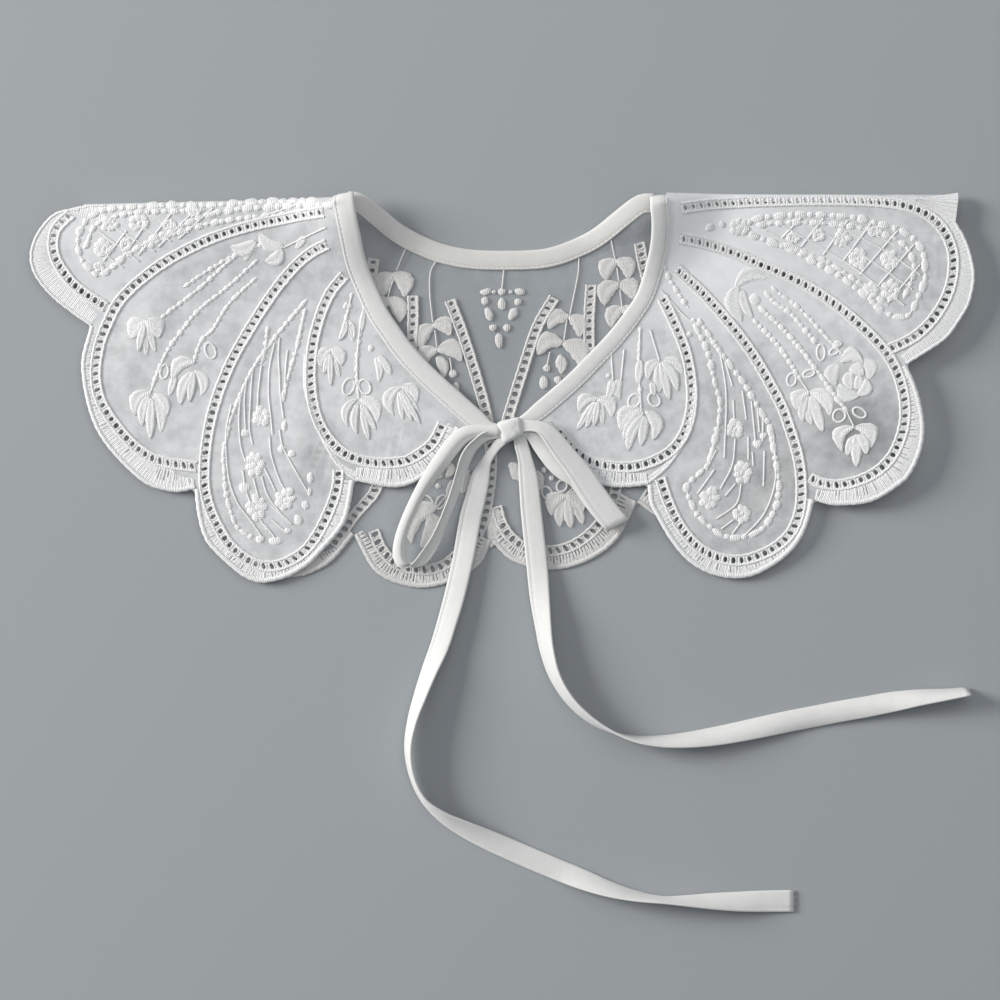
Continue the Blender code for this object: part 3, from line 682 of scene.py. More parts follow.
def satin_bead(stitches, x, y, length, width, turn):
    """A padded satin dot, longer along its turn in degrees, as seen in the photograph."""
    centre = from_photo(x, y)
    turned = spin(math.radians(turn))
    around = np.arange(BEAD_SIDES) * math.tau / BEAD_SIDES
    local = np.column_stack((np.cos(around) * length, np.sin(around) * width)) * PIXEL / 2
    small = min(1.0, width * PIXEL / 3.0)
    plan = []
    lifts = []
    varied = np.random.default_rng(int(abs(x) * 13 + abs(y) * 29))
    ragged = varied.uniform(0.86, 1.14, (BEAD_SIDES, 1))
    for share, lift in ((1.0, -0.1), (0.86, 0.5), (0.5, 0.9), (0.12, 1.0)):
        plan.append(centre + (local * share * ragged) @ turned)
        lifts += (lift * BEAD_LIFT * (0.55 + 0.45 * small)
                  * varied.uniform(0.78, 1.15, BEAD_SIDES)).tolist()
    faces = ring_faces(len(plan), BEAD_SIDES)
    faces.append(tuple(range((len(plan) - 1) * BEAD_SIDES, len(plan) * BEAD_SIDES)))
    plan = np.vstack(plan)
    stitches.add(plan, lifts, faces, (plan - centre) @ turned.T)


def thread(stitches, points, width=THREAD_WIDTH):
    """A line of running stitch through places in the photograph."""
    path = np.array([from_photo(x, y) for x, y in points])
    cord(stitches, smooth_rows(path, 1.3), width, width * 0.6, -0.05)


def thread_loop(stitches, x, y, across, along, turn):
    """An open ring of thread, as seen in the photograph, turned by degrees."""
    angle = math.radians(turn)
    around = np.linspace(0.0, math.tau, 17)
    local_x = np.cos(around) * across
    local_y = np.sin(around) * along
    ring_x = x + local_x * math.cos(angle) + local_y * math.sin(angle)
    ring_y = y - local_x * math.sin(angle) + local_y * math.cos(angle)
    path = np.array([from_photo(px, py) for px, py in zip(ring_x, ring_y)])
    cord(stitches, path, LOOP_THREAD_WIDTH, 0.4, -0.05)


def bead_strand(stitches, points, pitch, large, small):
    """Beads along a curve, large and small by turns. Sizes are length and width in pixels."""
    path = smooth_rows(np.array([from_photo(x, y) for x, y in points]), 0.8)
    lengths = run_lengths(path)
    ahead = np.gradient(path, axis=0)
    varied = np.random.default_rng(len(path))
    cord(stitches, path, 0.7, 0.25, -0.05)
    for number in range(int(lengths[-1] / (pitch * PIXEL)) + 1):
        at = min(lengths[-1], (number + varied.uniform(-0.12, 0.12)) * pitch * PIXEL)
        x, y = rows_at(at, lengths, path)
        turn = math.degrees(math.atan2(*rows_at(at, lengths, ahead)[::-1]))
        length, width = large if number % 2 == 0 else small
        length *= varied.uniform(0.9, 1.3)
        width *= varied.uniform(0.85, 1.2)
        satin_bead(stitches, x / PIXEL + MIDDLE_PIXEL_X, MIDDLE_PIXEL_Y - y / PIXEL, length,
                   width, turn)


def knot_flower(stitches, x, y, across, along, seed):
    """A small flower: a ring of knots round a centre knot."""
    varied = np.random.default_rng(seed)
    count = 7
    for petal in range(count):
        angle = math.tau * petal / count + varied.uniform(-0.2, 0.2)
        reach = varied.uniform(0.24, 0.38)
        satin_bead(stitches, x + across * reach * math.cos(angle),
                   y + along * reach * math.sin(angle), along * varied.uniform(0.36, 0.55),
                   across * varied.uniform(0.42, 0.58),
                   -math.degrees(angle) + varied.uniform(-40, 40))
    satin_bead(stitches, x, y, across * 0.34, along * 0.3, 40)


def work_sprays(stitches, leaves, beads, threads, loops, strands, flowers):
    """Work every part of a panel's sprays into one set of stitches."""
    for number, (base_x, base_y, tip_x, tip_y, half_width, bend) in enumerate(leaves):
        satin_leaf(stitches, (base_x, base_y), (tip_x, tip_y), half_width, bend, number % 5)
    for bead in beads:
        satin_bead(stitches, *bead)
    for points in threads:
        thread(stitches, points)
    for loop in loops:
        thread_loop(stitches, *loop)
    for points, pitch, large, small in strands:
        bead_strand(stitches, points, pitch, large, small)
    for number, flower in enumerate(flowers):
        knot_flower(stitches, *flower, number)


# Columns: base x, base y, tip x, tip y, half width, bend to the left of the leaf. The first row
# fills the hem between the two middle petals
BACK_LEAVES = (
    (497, 507, 491, 548, 5.5, 0.0),
    (394, 273, 382, 296, 7.0, -0.22), (394, 272, 405, 297, 7.0, 0.24),
    (389, 298, 374, 319, 6.5, -0.18), (389, 297, 400, 323, 6.5, 0.2),
    (433, 324, 421, 350, 6.5, -0.22), (433, 323, 451, 335, 6.5, 0.26),
    (437, 348, 420, 368, 6.5, -0.22), (437, 348, 462, 361, 7.0, 0.26),
    (438, 356, 444, 378, 4.5, 0.1), (430, 372, 425, 396, 4.5, 0.0),
    (569, 315, 548, 329, 6.5, -0.24), (570, 315, 580, 337, 6.5, 0.24),
    (563, 341, 537, 355, 7.0, -0.26), (564, 341, 582, 368, 8.0, 0.24),
    (560, 355, 561, 374, 4.0, 0.1), (572, 375, 566, 396, 4.0, 0.0),
    (616, 259, 606, 281, 6.5, -0.24), (617, 259, 629, 279, 6.5, 0.26),
    (618, 282, 604, 306, 7.0, -0.24), (619, 282, 634, 299, 7.0, 0.26),
    (622, 306, 611, 328, 6.0, -0.2), (622, 306, 631, 322, 5.0, 0.2),
    (438, 506, 407, 528, 6.0, -0.2), (436, 508, 411, 544, 6.5, -0.26), (433, 512, 421, 548, 5.5, 0.1),
    (428, 514, 431, 545, 4.5, 0.1), (426, 516, 440, 536, 4.5, 0.2),
    (566, 494, 551, 516, 6.5, -0.28), (566, 494, 583, 512, 7.0, 0.28), (566, 497, 560, 527, 5.0, -0.1),
    (568, 499, 583, 524, 4.5, 0.1), (567, 500, 571, 528, 4.5, 0.0),
    (450, 462, 446, 478, 3.5, 0.2), (466, 470, 462, 494, 4.0, 0.1), (453, 480, 447, 500, 3.0, 0.0),
    (511, 462, 514, 480, 5.0, 0.2), (520, 462, 521, 482, 4.5, -0.2), (534, 470, 540, 490, 4.0, 0.1),
)
# Columns: x, y, length, width, turn
BACK_BEADS = (
    (486, 292, 12, 7, 8), (502, 292, 8, 8, 0), (520, 292, 12, 7, -8), (485, 301, 8, 8, 0),
    (502, 304, 9, 13, 0), (518, 302, 8, 8, 0), (489, 314, 15, 8, -70), (513, 314, 14, 9, 60),
    (493, 328, 8, 8, 0), (507, 328, 8, 8, 0), (499, 341, 9, 15, 0), (494, 292, 5, 4, 0),
    (511, 292, 5, 4, 0), (453, 374, 9, 9, 0), (456, 387, 11, 7, -80), (457, 398, 8, 6, 0),
    (547, 368, 8, 8, 0), (560, 362, 9, 15, 0), (544, 383, 10, 14, 0), (558, 380, 8, 8, 0),
    (448, 508, 5, 12, 0), (438, 486, 6, 6, 0), (440, 476, 6, 6, 0), (544, 470, 6, 6, 0),
    (552, 478, 6, 6, 0),
)
# Running stitch, point by point. Columns of each: x, y
BACK_THREADS = (
    ((405.7, 249.5), (401, 260), (396.7, 271)), ((393, 281), (390, 290), (388, 298)),
    ((436, 261.6), (430.5, 273), (430, 295), (433, 323)), ((435, 330), (437, 347)),
    ((450, 358), (452, 372)), ((504, 270), (503, 280), (502, 289)),
    ((579, 258), (578, 275), (570, 315)), ((567, 320), (564, 341)), ((550, 352), (547, 366)),
    ((611, 241), (615, 259)), ((617, 268), (619, 282)), ((620, 290), (622, 306)),
    ((640, 470), (610, 478), (580, 485), (566, 494)), ((470, 470), (450, 492), (438, 506)),
    ((327, 440), (318, 480), (310, 520)), ((343, 440), (334, 480), (322, 528)),
)
# Columns: x, y, half width, half length, turn
BACK_LOOPS = (
    (427, 502, 5.5, 7.0, 35), (441, 502, 4.5, 7.5, -30), (547, 493, 5.0, 7.0, 30),
    (562, 486, 5.0, 6.0, -30), (470, 488, 4, 7, -20),
)
# Columns: points, pitch, large bead, small bead
BACK_STRANDS = (
    (((300, 250), (270, 290), (246, 330), (224, 372), (216, 420)), 8.0, (9, 6), (5, 5)),
    (((330, 300), (306, 350), (292, 400), (290, 450), (306, 490)), 8.0, (9, 6), (5, 5)),
    (((352, 330), (346, 380), (338, 430), (326, 480)), 8.0, (9, 6), (5, 5)),
    (((668, 300), (690, 350), (706, 400), (704, 440)), 8.0, (9, 6), (5, 5)),
    (((690, 280), (724, 330), (754, 380), (770, 420)), 8.0, (9, 6), (5, 5)),
    (((720, 250), (770, 280), (822, 310), (868, 340)), 8.0, (9, 6), (5, 5)),
    (((110, 240), (150, 262), (190, 262), (240, 240)), 8.0, (9, 6), (5, 5)),
    (((130, 300), (160, 330), (176, 370), (170, 400)), 8.0, (9, 6), (5, 5)),
)
# Columns: x, y, width, length
BACK_FLOWERS = (
    (130, 330, 20, 22), (160, 380, 18, 24), (236, 470, 20, 24), (262, 500, 18, 22), (300, 440, 20, 24),
    (700, 340, 20, 20), (736, 404, 20, 24), (690, 420, 18, 22), (790, 330, 20, 20), (836, 372, 18, 20),
    (860, 300, 20, 20), (320, 400, 18, 20), (250, 290, 18, 18), (210, 330, 18, 18), (776, 260, 18, 18),
)
back_sprays = Stitches(back_cloth)
work_sprays(back_sprays, BACK_LEAVES, BACK_BEADS, BACK_THREADS, BACK_LOOPS, BACK_STRANDS,
            BACK_FLOWERS)
back_spray_piece = back_sprays.piece("sprays_back", WRONG_SIDE_THREAD_WITH_PAINTED_SHADE)
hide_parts("lace_back")

# Front panels. The same organza ring turns over at each shoulder in a soft roll and comes
# forward over the back, right side up. Each front has four petals.
ROLL_TURNS = 14
FRONT_LAY = 1.8
FOLD_REACH = 46.0
LIFT_START = 110.0
LIFT_REACH = 90.0
LEFT_BINDING_WIDTH = 9.6
RIGHT_BINDING_WIDTH = 8.2
# Middle lines of the front bindings, from the shoulder to the bow. Columns: x, y
LEFT_BINDING = (
    (-71.3, 89.3), (-68.5, 75), (-65.3, 60.7), (-57.5, 42.3), (-50.6, 31.3), (-43.2, 21.2),
    (-33.6, 11), (-22.5, 0.9), (-7.5, -12.0), (0.5, -14.2),
)
RIGHT_BINDING = (
    (72.4, 88.2), (73.2, 79), (72.2, 66.7), (67.2, 48.8), (60.7, 38.2), (52.4, 27.6),
    (42.8, 17.5), (32.7, 7.4), (18.0, -5.2), (12.4, -9.0), (7.0, -11.6),
)
BARE_BINDING_LEFT = 10.5
BARE_BINDING_RIGHT = 6.5
FRONT_LEFT_PETALS = (
    ((-193, 87.5), (-199.5, 86.9), (-204.7, 84.9), (-209.3, 80.5), (-213.4, 74), (-215.5, 66.7),
     (-214.4, 59.3), (-210.2, 52.4), (-204.2, 46), (-196, 39.6), (-188, 34)),
    ((-188, 34), (-192, 14), (-185, -14), (-166, -36), (-151, -42), (-140, -41)),
    ((-140, -41), (-139.4, -48.3), (-138.2, -55.2), (-136.4, -61.6), (-133.4, -67), (-126.5, -74),
     (-118.7, -80.5), (-111.8, -83.5), (-105.3, -83.5), (-97, -81), (-88.3, -75.9),
    (-81.9, -69.5), (-74.5, -61.2), (-70.4, -54.3),
     (-68.1, -44.2), (-67, -37)),
    ((-67, -37), (-47, -40), (-33, -34), (-23, -23), (-18.5, -13)),
)
FRONT_RIGHT_PETALS = (
    ((208.4, 81.9), (212.5, 75), (215.3, 67.6), (217.1, 58.9), (216.7, 51.5), (214.4, 43.2),
     (209.8, 35.4), (203.1, 27.1), (186, 16)),
    ((186, 16), (189.5, 8.3), (192.3, -0.5), (194, -10.6), (193.7, -18.9), (191.6, -26.7),
     (188.1, -33.6), (183.5, -38.6), (170.2, -46.6), (154, -48.3), (144, -46)),
    ((144, -46), (141.4, -56), (137.4, -64.8), (131.1, -71.9), (123.2, -77.4), (115.2, -81),
     (107.3, -81.8), (99.4, -80.6), (91.5, -77.4), (84.4, -71.9), (78, -63.9), (72.5, -54.5),
     (68.9, -47.3), (68, -39)),
    ((68, -39), (58, -40), (47, -39), (32, -32), (24, -20), (20.5, -11)),
)
# Where the petal next to the bow lies over its neighbour: the part of its edge that shows
LEFT_OVERLAP = ((-90, 21), (-90, 6), (-87, -6), (-82, -18), (-75, -30), (-67, -37))
RIGHT_OVERLAP = ((91, 8), (89.5, -5), (86, -18), (79, -29), (73, -35), (68, -39))
FRONT_LEFT_LADDERS = (
    ((-196.4, 85.1), (-200.6, 81.4), (-203.8, 77.3), (-204.9, 70.8), (-203.8, 64.9), (-201, 59.8),
     (-196.9, 54.3), (-191.8, 49.7), (-184.9, 45.1), (-181, 42.6)),
    ((-80.5, 85.3), (-91.1, 84), (-100.3, 82.3), (-111.8, 80), (-123.3, 76.8), (-134.8, 72.7),
     (-146.3, 67.2), (-155.5, 61.9), (-163.3, 56.1), (-170.2, 50.1), (-175.7, 43.7),
     (-179.9, 35.4), (-183.1, 27.6), (-184.9, 19.8), (-185.6, 11.5), (-184.5, 3.2), (-181.2, -4.6),
     (-175.7, -12.4), (-168.8, -20.2), (-160.1, -26.5), (-151.3, -29.2), (-139.4, -30.8)),
    ((-79.1, 70.8), (-86.5, 67.2), (-93.4, 61.6), (-100.7, 53.4), (-108.1, 43.2), (-115, 32.2),
     (-122.4, 19.3), (-128.3, 5.5), (-132.5, -8.3), (-134.8, -21.2), (-135.7, -33.1),
     (-135.2, -42.3), (-132.9, -50.6), (-129.3, -58.4), (-124.7, -65.8), (-118.2, -71.8),
     (-111.3, -75.7), (-104, -76.4), (-96.6, -74.1), (-89.7, -69.5), (-84.2, -62.6), (-80, -54.7),
     (-76.4, -46), (-74.5, -38.6), (-74.1, -32.2)),
    ((-71.3, 57), (-76.8, 50.6), (-80.5, 43.7), (-83.3, 35.9), (-85.6, 26.7), (-86.7, 17.5),
     (-86.9, 8.3), (-85.6, -2.3), (-82.8, -11), (-78.2, -18.4), (-71.8, -24.4), (-64.4, -27.6),
     (-55.2, -29.2), (-45.1, -28.5), (-39.1, -26.2), (-31, -20), (-26, -11)),
)
FRONT_RIGHT_LADDERS = (
    ((82.8, 86.9), (94.3, 88.8), (110.4, 90.2), (126.5, 90.9), (144.9, 91.3), (163.3, 91.1),
     (177.1, 90.2), (185.4, 88.8), (192.3, 86.5), (197.8, 83.3), (202.4, 78.7), (205.6, 73.1),
     (207.5, 66.2), (207.5, 58.9), (206.1, 51.5), (203.3, 44.6), (199.6, 38.6), (195, 33.1),
     (189.5, 28.5), (183.5, 25.3), (178, 23)),
    ((82.3, 73.6), (94.3, 71.3), (107.2, 67.2), (119.6, 61.9), (131.6, 56.8), (143.5, 50.6),
     (155.5, 42.3), (166.5, 32.7), (175.7, 23), (181.7, 12.9), (184.9, 1.8), (185.4, -8.3),
     (183.5, -17.5), (179.4, -26.2), (173, -32.7), (164.7, -37), (155.5, -39.1), (147.2, -38.2),
     (142.1, -35.4)),
    ((81, 60), (96, 46), (114, 24), (127.9, 0), (132.9, -12.9), (136.6, -25.3), (138.2, -36.8),
     (137.8, -49.7), (134.3, -59.8), (127.9, -66.7), (119.6, -71.3), (109.5, -73.8), (99.4, -72.2),
     (90.6, -67.2), (82.8, -58), (77.3, -46.9), (73.6, -35.9)),
    ((74.5, 47.4), (80.5, 34.5), (85.1, 23), (87.6, 10.6), (88.1, -1.8), (85.6, -13.3),
     (80, -22.1), (71.3, -27.8), (60.7, -30.8), (49.7, -30.4), (41.4, -28.1), (34, -23), (26, -14)),
)
# Band of each petal, from the shoulder to the bow. Columns: share of slits, rim width, relief
HEM_STYLES = (
    (0.0, 1.5, 0.5), (0.35, 2.2, 0.85), (0.35, 2.4, 0.8), (0.6, 2.4, 1.0), (0.0, 1.6, 0.7),
)
# Edges of the hem that climb over the shoulder folds. Columns: x, y
LEFT_FOLD_HEM = ((-181, 89.7), (-187.5, 89.4), (-193, 88.4), (-198, 87.1))
RIGHT_FOLD_HEM = ((192, 92.8), (200, 91.2), (205, 88), (208.4, 82))
# The folded end of the hem in the photograph: where it starts, and its two far corners
CORNER_PLACES = ((913, 201), (957, 193.5), (953.5, 223))
CORNER_ROWS = 14
CORNER_COLUMNS = 43
CORNER_RIBS = 7
LEFT_CREASES = (
    (-150, 60, -176, 6, 0.6, 5.0),
    (-100, 40, -124, -50, -0.5, 6.0),
    (-88, 20, -96, -62, 0.5, 5.0),
    (-70, 20, -56, -24, -0.4, 5.0),
)
RIGHT_CREASES = (
    (120, 44, 170, -20, 0.8, 6.0),
    (96, 30, 118, -56, -0.6, 6.0),
    (110, 62, 196, 52, 0.7, 7.0),
    (70, 20, 60, -20, 0.4, 5.0),
)


def front_height(fold, x, y):
    """Underside of a front panel: on the back panel, rising to the roll at the shoulder."""
    roll = 2 * fold_radius(fold, x) - LACE_WALL - FRONT_LAY
    depth = np.maximum(roll_start(fold, x) - y, 0.0)
    outward = 1 - ease((np.abs(x) - LIFT_START) / LIFT_REACH)
    lift = fold.hem_lift * outward * (1 - ease(depth / FOLD_REACH))
    return FRONT_LAY + back_height(x, y) + roll * ease(depth / FOLD_REACH) + lift


def front_cloth(fold, creases):
    """The height function of a front's organza, carried on over the top of its roll."""
    def height(x, y):
        start = roll_start(fold, x)
        radius = fold_radius(fold, x) - 0.1
        over = np.clip(y - start, 0.0, radius)
        drop = radius - np.sqrt(radius ** 2 - over ** 2)
        flat = front_height(fold, x, np.minimum(y, start)) + LACE_WALL - 0.1
        fade = 1 - ease((start - y) / 20)
        return flat - drop + crease_height(creases, x, y) * fade
    return height


def front_outline(fold, petals, inward, binding, width, bare):
    """Outline in plan of a front panel, up to where its roll begins."""
    path = smooth_rows(binding, 3.0)
    edge = path - left_of(path) * inward * (width / 2 - 1.0)
    edge = edge[np.hypot(*(path - path[-1]).T) > bare]
    hem = scalloped_edge(petals, inward * ORGANZA_HEM_INSET)
    fold_points = fold_edge(fold, fold.neck_x + inward, fold.tip_x + inward * 2.0, 0.0)
    return np.vstack((fold_points, hem, edge[:0:-1])), fold_points


def add_roll(verts, faces, fold_points, fold):
    """Carry the organza round the shoulder roll, down to the back."""
    verts = [tuple(vert) for vert in verts]
    xs = fold_points[:, 0]
    ys = roll_start(fold, xs)
    radius = fold_radius(fold, xs)
    centres = back_height(xs, ys) + radius
    first = len(verts)
    for turn in range(ROLL_TURNS + 1):
        angle = math.pi * turn / ROLL_TURNS
        size = radius - 0.1
        row = np.column_stack((xs, ys + size * math.sin(angle), centres + size * math.cos(angle)))
        verts += [tuple(point) for point in row]
    faces = list(faces) + [tuple(first + i for i in face)
                           for face in strip_faces(ROLL_TURNS + 1, len(xs))]
    return verts, faces


def folded_corner(stitches):
    """The end of the hem band, turned over the fold at the tip, where its ribs bunch together."""
    shares = np.linspace(0.0, 1.0, CORNER_ROWS)
    across = np.linspace(0.0, 1.0, CORNER_COLUMNS)
    plan = []
    lifts = []
    uvs = []
    (near_x, near_y), (top_x, top_y), (low_x, low_y) = CORNER_PLACES
    for share in shares:
        for place in across:
            far_x = top_x + (low_x - top_x) * place
            far_y = top_y + (low_y - top_y) * place
            x = near_x + (far_x - near_x) * share
            y = near_y + (far_y - near_y) * share + 3.0 * share * (1 - share) * (place - 0.5)
            plan.append(from_photo(x, y))
            lifts.append(0.25 + 0.45 * abs(math.sin(math.pi * CORNER_RIBS * place)) * share ** 0.5)
            uvs.append((place * 10, share * 20))
    stitches.add(plan, lifts, strip_faces(CORNER_ROWS, CORNER_COLUMNS), uvs)


ORGANZA_FACE = cloth_finish("organza_face", (0.89, 0.895, 0.90), 0.68, 0.12, 0.35, 0.5)
# Where the fronts hold back more or less light than the rest, their colour going darker or lighter with
# it. Columns: x, y, reach, added cover
FRONT_PATCHES = (
    (-184, 76, 32, 0.10), (-152, 37, 30, -0.02), (-118, -12, 22, 0.03), (-86, -28, 15, -0.06),
    (-70, 14, 18, 0.06), (94, 62, 28, 0.22), (108, 84, 24, 0.16), (150, 72, 24, 0.05),
    (166, -16, 19, -0.24),
    (124, -36, 20, -0.14), (108, -62, 16, -0.04), (190, 56, 14, -0.06), (112, 0, 20, -0.05),
)

front_pieces = {}
for side_name, fold, petals, ladders, overlap, fold_hem, creases, binding, width, bare, inward in (
        ("left", FOLD_LEFT, FRONT_LEFT_PETALS, FRONT_LEFT_LADDERS, LEFT_OVERLAP, LEFT_FOLD_HEM,
         LEFT_CREASES, LEFT_BINDING, LEFT_BINDING_WIDTH, BARE_BINDING_LEFT, 1),
        ("right", FOLD_RIGHT, FRONT_RIGHT_PETALS, FRONT_RIGHT_LADDERS, RIGHT_OVERLAP,
         RIGHT_FOLD_HEM, RIGHT_CREASES, RIGHT_BINDING, RIGHT_BINDING_WIDTH, BARE_BINDING_RIGHT,
         -1)):
    cloth = front_cloth(fold, creases)
    outline, fold_points = front_outline(fold, petals, inward, binding, width, bare)
    paths = [smooth_rows(row, 1.2) for row in ladders]
    verts, faces = cut_cloth(outline, paths, cloth)
    verts, faces = add_roll(verts, faces, fold_points, fold)
    organza = make_piece("organza_front_" + side_name, verts, faces, ORGANZA_FACE)
    set_cover_and_painted_light(organza, FRONT_PATCHES)
    stitches = Stitches(cloth)
    for i, path in enumerate(paths):
        ladder(stitches, path, 50 + i, FRONT_OPENNESS)
    for i, (petal, style) in enumerate(zip(petals + (overlap,), HEM_STYLES)):
        hem_band(stitches, petal, paths, inward, 70 + i, *style)
    hem_band(stitches, fold_hem, paths, inward, 80, *HEM_STYLES[0])
    if side_name == "right":
        folded_corner(stitches)
    stitching = stitches.piece("stitching_front_" + side_name, FACE_THREAD)
    front_pieces[side_name] = (organza, stitching, cloth)

# Sprays on the fronts. The same leaves, tulips, bead strands and thread loops, right side up. The
# second and fourth petals hold a drop of beads, filled with knot flowers and long threads.
LEFT_LEAVES = (
    (360, 398, 378, 422, 5.5, 0.24), (357, 399, 348, 427, 3.4, -0.24), (361, 404, 376, 430, 3.2, 0.0),
    (358, 404, 357, 434, 3.2, -0.1), (362, 410, 369, 440, 2.8, 0.0),
    (401, 386, 394, 416, 5.0, -0.3), (401, 386, 417, 402, 4.5, 0.28), (399, 392, 403, 420, 2.6, 0.0),
    (400, 391, 412, 421, 2.5, 0.0), (401, 390, 420, 424, 2.6, 0.0), (402, 389, 419, 411, 2.6, 0.0),
    (332, 348, 321, 368, 5.0, -0.2), (332, 348, 342, 366, 5.0, 0.2), (330, 354, 324, 374, 2.6, 0.0),
    (331, 354, 331, 386, 2.6, 0.0), (333, 354, 340, 377, 2.6, 0.0),
    (376, 357, 379, 382, 3.2, 0.1), (378, 358, 391, 375, 3.4, 0.1), (378, 356, 389, 366, 2.8, 0.0),
    (346, 320, 339, 341, 2.8, 0.1), (348, 320, 353, 342, 3.2, 0.1), (364, 312, 361, 334, 2.4, 0.0),
    (284, 248, 260, 234, 5.5, 0.2), (283, 250, 266, 263, 5.5, 0.2), (257, 243, 231, 248, 5.5, 0.2),
    (259, 245, 246, 262, 5.0, -0.2), (306, 238, 297, 250, 3.0, 0.0),
    (147, 320, 132, 339, 7.0, -0.2), (147, 320, 160, 338, 7.0, 0.2), (145, 325, 139, 352, 3.0, 0.0),
    (147, 325, 147, 356, 3.0, 0.0), (149, 325, 156, 352, 3.0, 0.0),
    (196, 361, 173, 380, 5.5, -0.26), (193, 372, 181, 405, 4.5, -0.1), (194, 372, 190, 402, 3.4, 0.0),
    (195, 370, 202, 396, 4.5, 0.24), (176, 376, 170, 396, 3.0, 0.0),
    (152, 391, 136, 416, 5.5, -0.28), (150, 396, 143, 426, 4.0, -0.1), (152, 398, 151, 439, 4.0, 0.0),
    (154, 396, 162, 432, 4.5, 0.1), (155, 393, 167, 417, 4.0, 0.2),
)
LEFT_BEADS = (
    (371, 349, 8, 6, 80), (346, 306, 8, 5, 75), (352, 296, 6, 4, 75), (284, 396, 6, 13, 0),
    (285, 426, 6, 11, 0), (282, 449, 8, 9, 0), (292, 454, 9, 8, 0), (311, 478, 7, 13, 0),
    (310, 492, 5, 9, 0), (306, 505, 8, 10, 0), (299, 520, 9, 11, 30), (288, 531, 8, 6, 0),
    (276, 541, 14, 8, 0), (261, 539, 10, 8, 0), (141, 214, 9, 5, 0), (157, 207, 10, 5, 0),
    (246, 433, 11, 9, 0), (245, 488, 12, 12, 0),
)
LEFT_THREADS = (
    ((327, 230), (306, 239), (284, 249)), ((352, 296), (349, 308), (346, 321)),
    ((367, 300), (362, 318), (358, 352), (357.5, 378), (359, 398)),
    ((280, 338), (279, 356), (280, 376), (281, 396), (284, 418)),
    ((275, 343), (270, 368), (269, 392), (271, 414), (273, 434)),
    ((262, 366), (259, 390), (258, 408)), ((253, 370), (251, 400), (250, 428), (253, 444)),
    ((288, 350), (286, 372), (286, 394)), ((241, 396), (239.5, 420), (241, 444), (246, 462)),
    ((232, 405), (227, 430), (227, 456), (230, 481), (238, 503), (250, 519), (262, 536)),
    ((280, 430), (283, 446), (290, 460), (299, 476), (310, 495)),
    ((270, 436), (272, 456), (280, 480), (287, 492)), ((254, 478), (259, 498)),
    ((262, 476), (268, 495), (280, 512), (290, 522)), ((265, 468), (276, 491)),
    ((243, 470), (247, 492), (256, 512), (268, 530)), ((271, 505), (292, 524)),
    ((272, 519), (287, 533)), ((265, 524), (275, 537)), ((247, 380), (245, 402), (246, 430)),
    ((100, 232), (140, 262)), ((112, 226), (156, 252)),
    ((128, 222), (172, 242)), ((148, 216), (190, 234)), ((92, 245), (124, 268)),
    ((105, 262), (128, 232)), ((120, 264), (150, 222)), ((140, 256), (172, 216)),
    ((160, 248), (196, 212)), ((180, 240), (214, 210)), ((300, 206), (240, 226), (220, 232)),
)
LEFT_LOOPS = (
    (349, 387, 5.5, 8.5, -20), (365, 387, 5.5, 7.5, 25), (211, 351, 5.0, 8.0, 20),
    (165, 372, 4.0, 7.0, -10), (352, 331, 3.0, 7.0, 0),
)
LEFT_STRANDS = (
    (((240, 254), (229, 263), (207, 283), (186, 300), (170, 312), (160, 320)), 6.5, (8, 5), (5, 4)),
    (((256, 263), (229, 287), (201, 309), (184, 329), (169, 350), (159, 371), (152, 391)), 6.5,
     (8, 5), (5, 4)),
    (((254, 281), (229, 305), (214, 329), (202, 341), (195, 360)), 6.5, (8, 5), (5, 4)),
    (((303, 305), (277, 336), (253, 370), (238, 403), (231, 421), (227, 439), (224, 454), (225, 472),
      (227, 495), (236, 524), (245, 533), (256, 539)), 8.5, (11, 5), (6, 5)),
    (((305, 312), (298, 345), (288, 380), (284, 396)), 8.5, (10, 5), (6, 5)),
    (((330, 208), (280, 208), (219, 214), (174, 231), (136, 251), (103, 275), (92, 270), (82, 258),
      (80, 238), (90, 220), (109, 211), (135, 208), (170, 206), (211, 206), (270, 202), (320, 202)),
     10.0, (12, 8), (7, 6)),
    (((366, 300), (361, 333), (357, 364), (358, 394)), 7.0, (7, 5), (5, 4)),
    (((300, 214), (250, 219), (206, 226), (168, 238), (138, 254)), 8.5, (10, 7), (7, 5)),
    (((88, 246), (98, 226), (124, 216), (160, 213), (206, 212)), 8.5, (10, 7), (7, 5)),
    (((268, 330), (266, 348), (262, 364)), 7.0, (8, 5), (6, 4)),
    (((262, 246), (236, 256), (208, 272), (184, 288)), 7.0, (7, 5), (5, 4)),
    (((350, 306), (346, 321)), 6.0, (7, 5), (5, 4)),
)
LEFT_FLOWERS = (
    (262, 417, 18, 19), (255, 464, 17, 26), (286, 500, 18, 24), (258, 508, 18, 27),
    (141, 224, 20, 16), (105, 249, 20, 19), (127, 245, 15, 14), (112, 226, 16, 14), (170, 226, 16, 12),
    (196, 214, 14, 10), (101, 268, 12, 10),
)
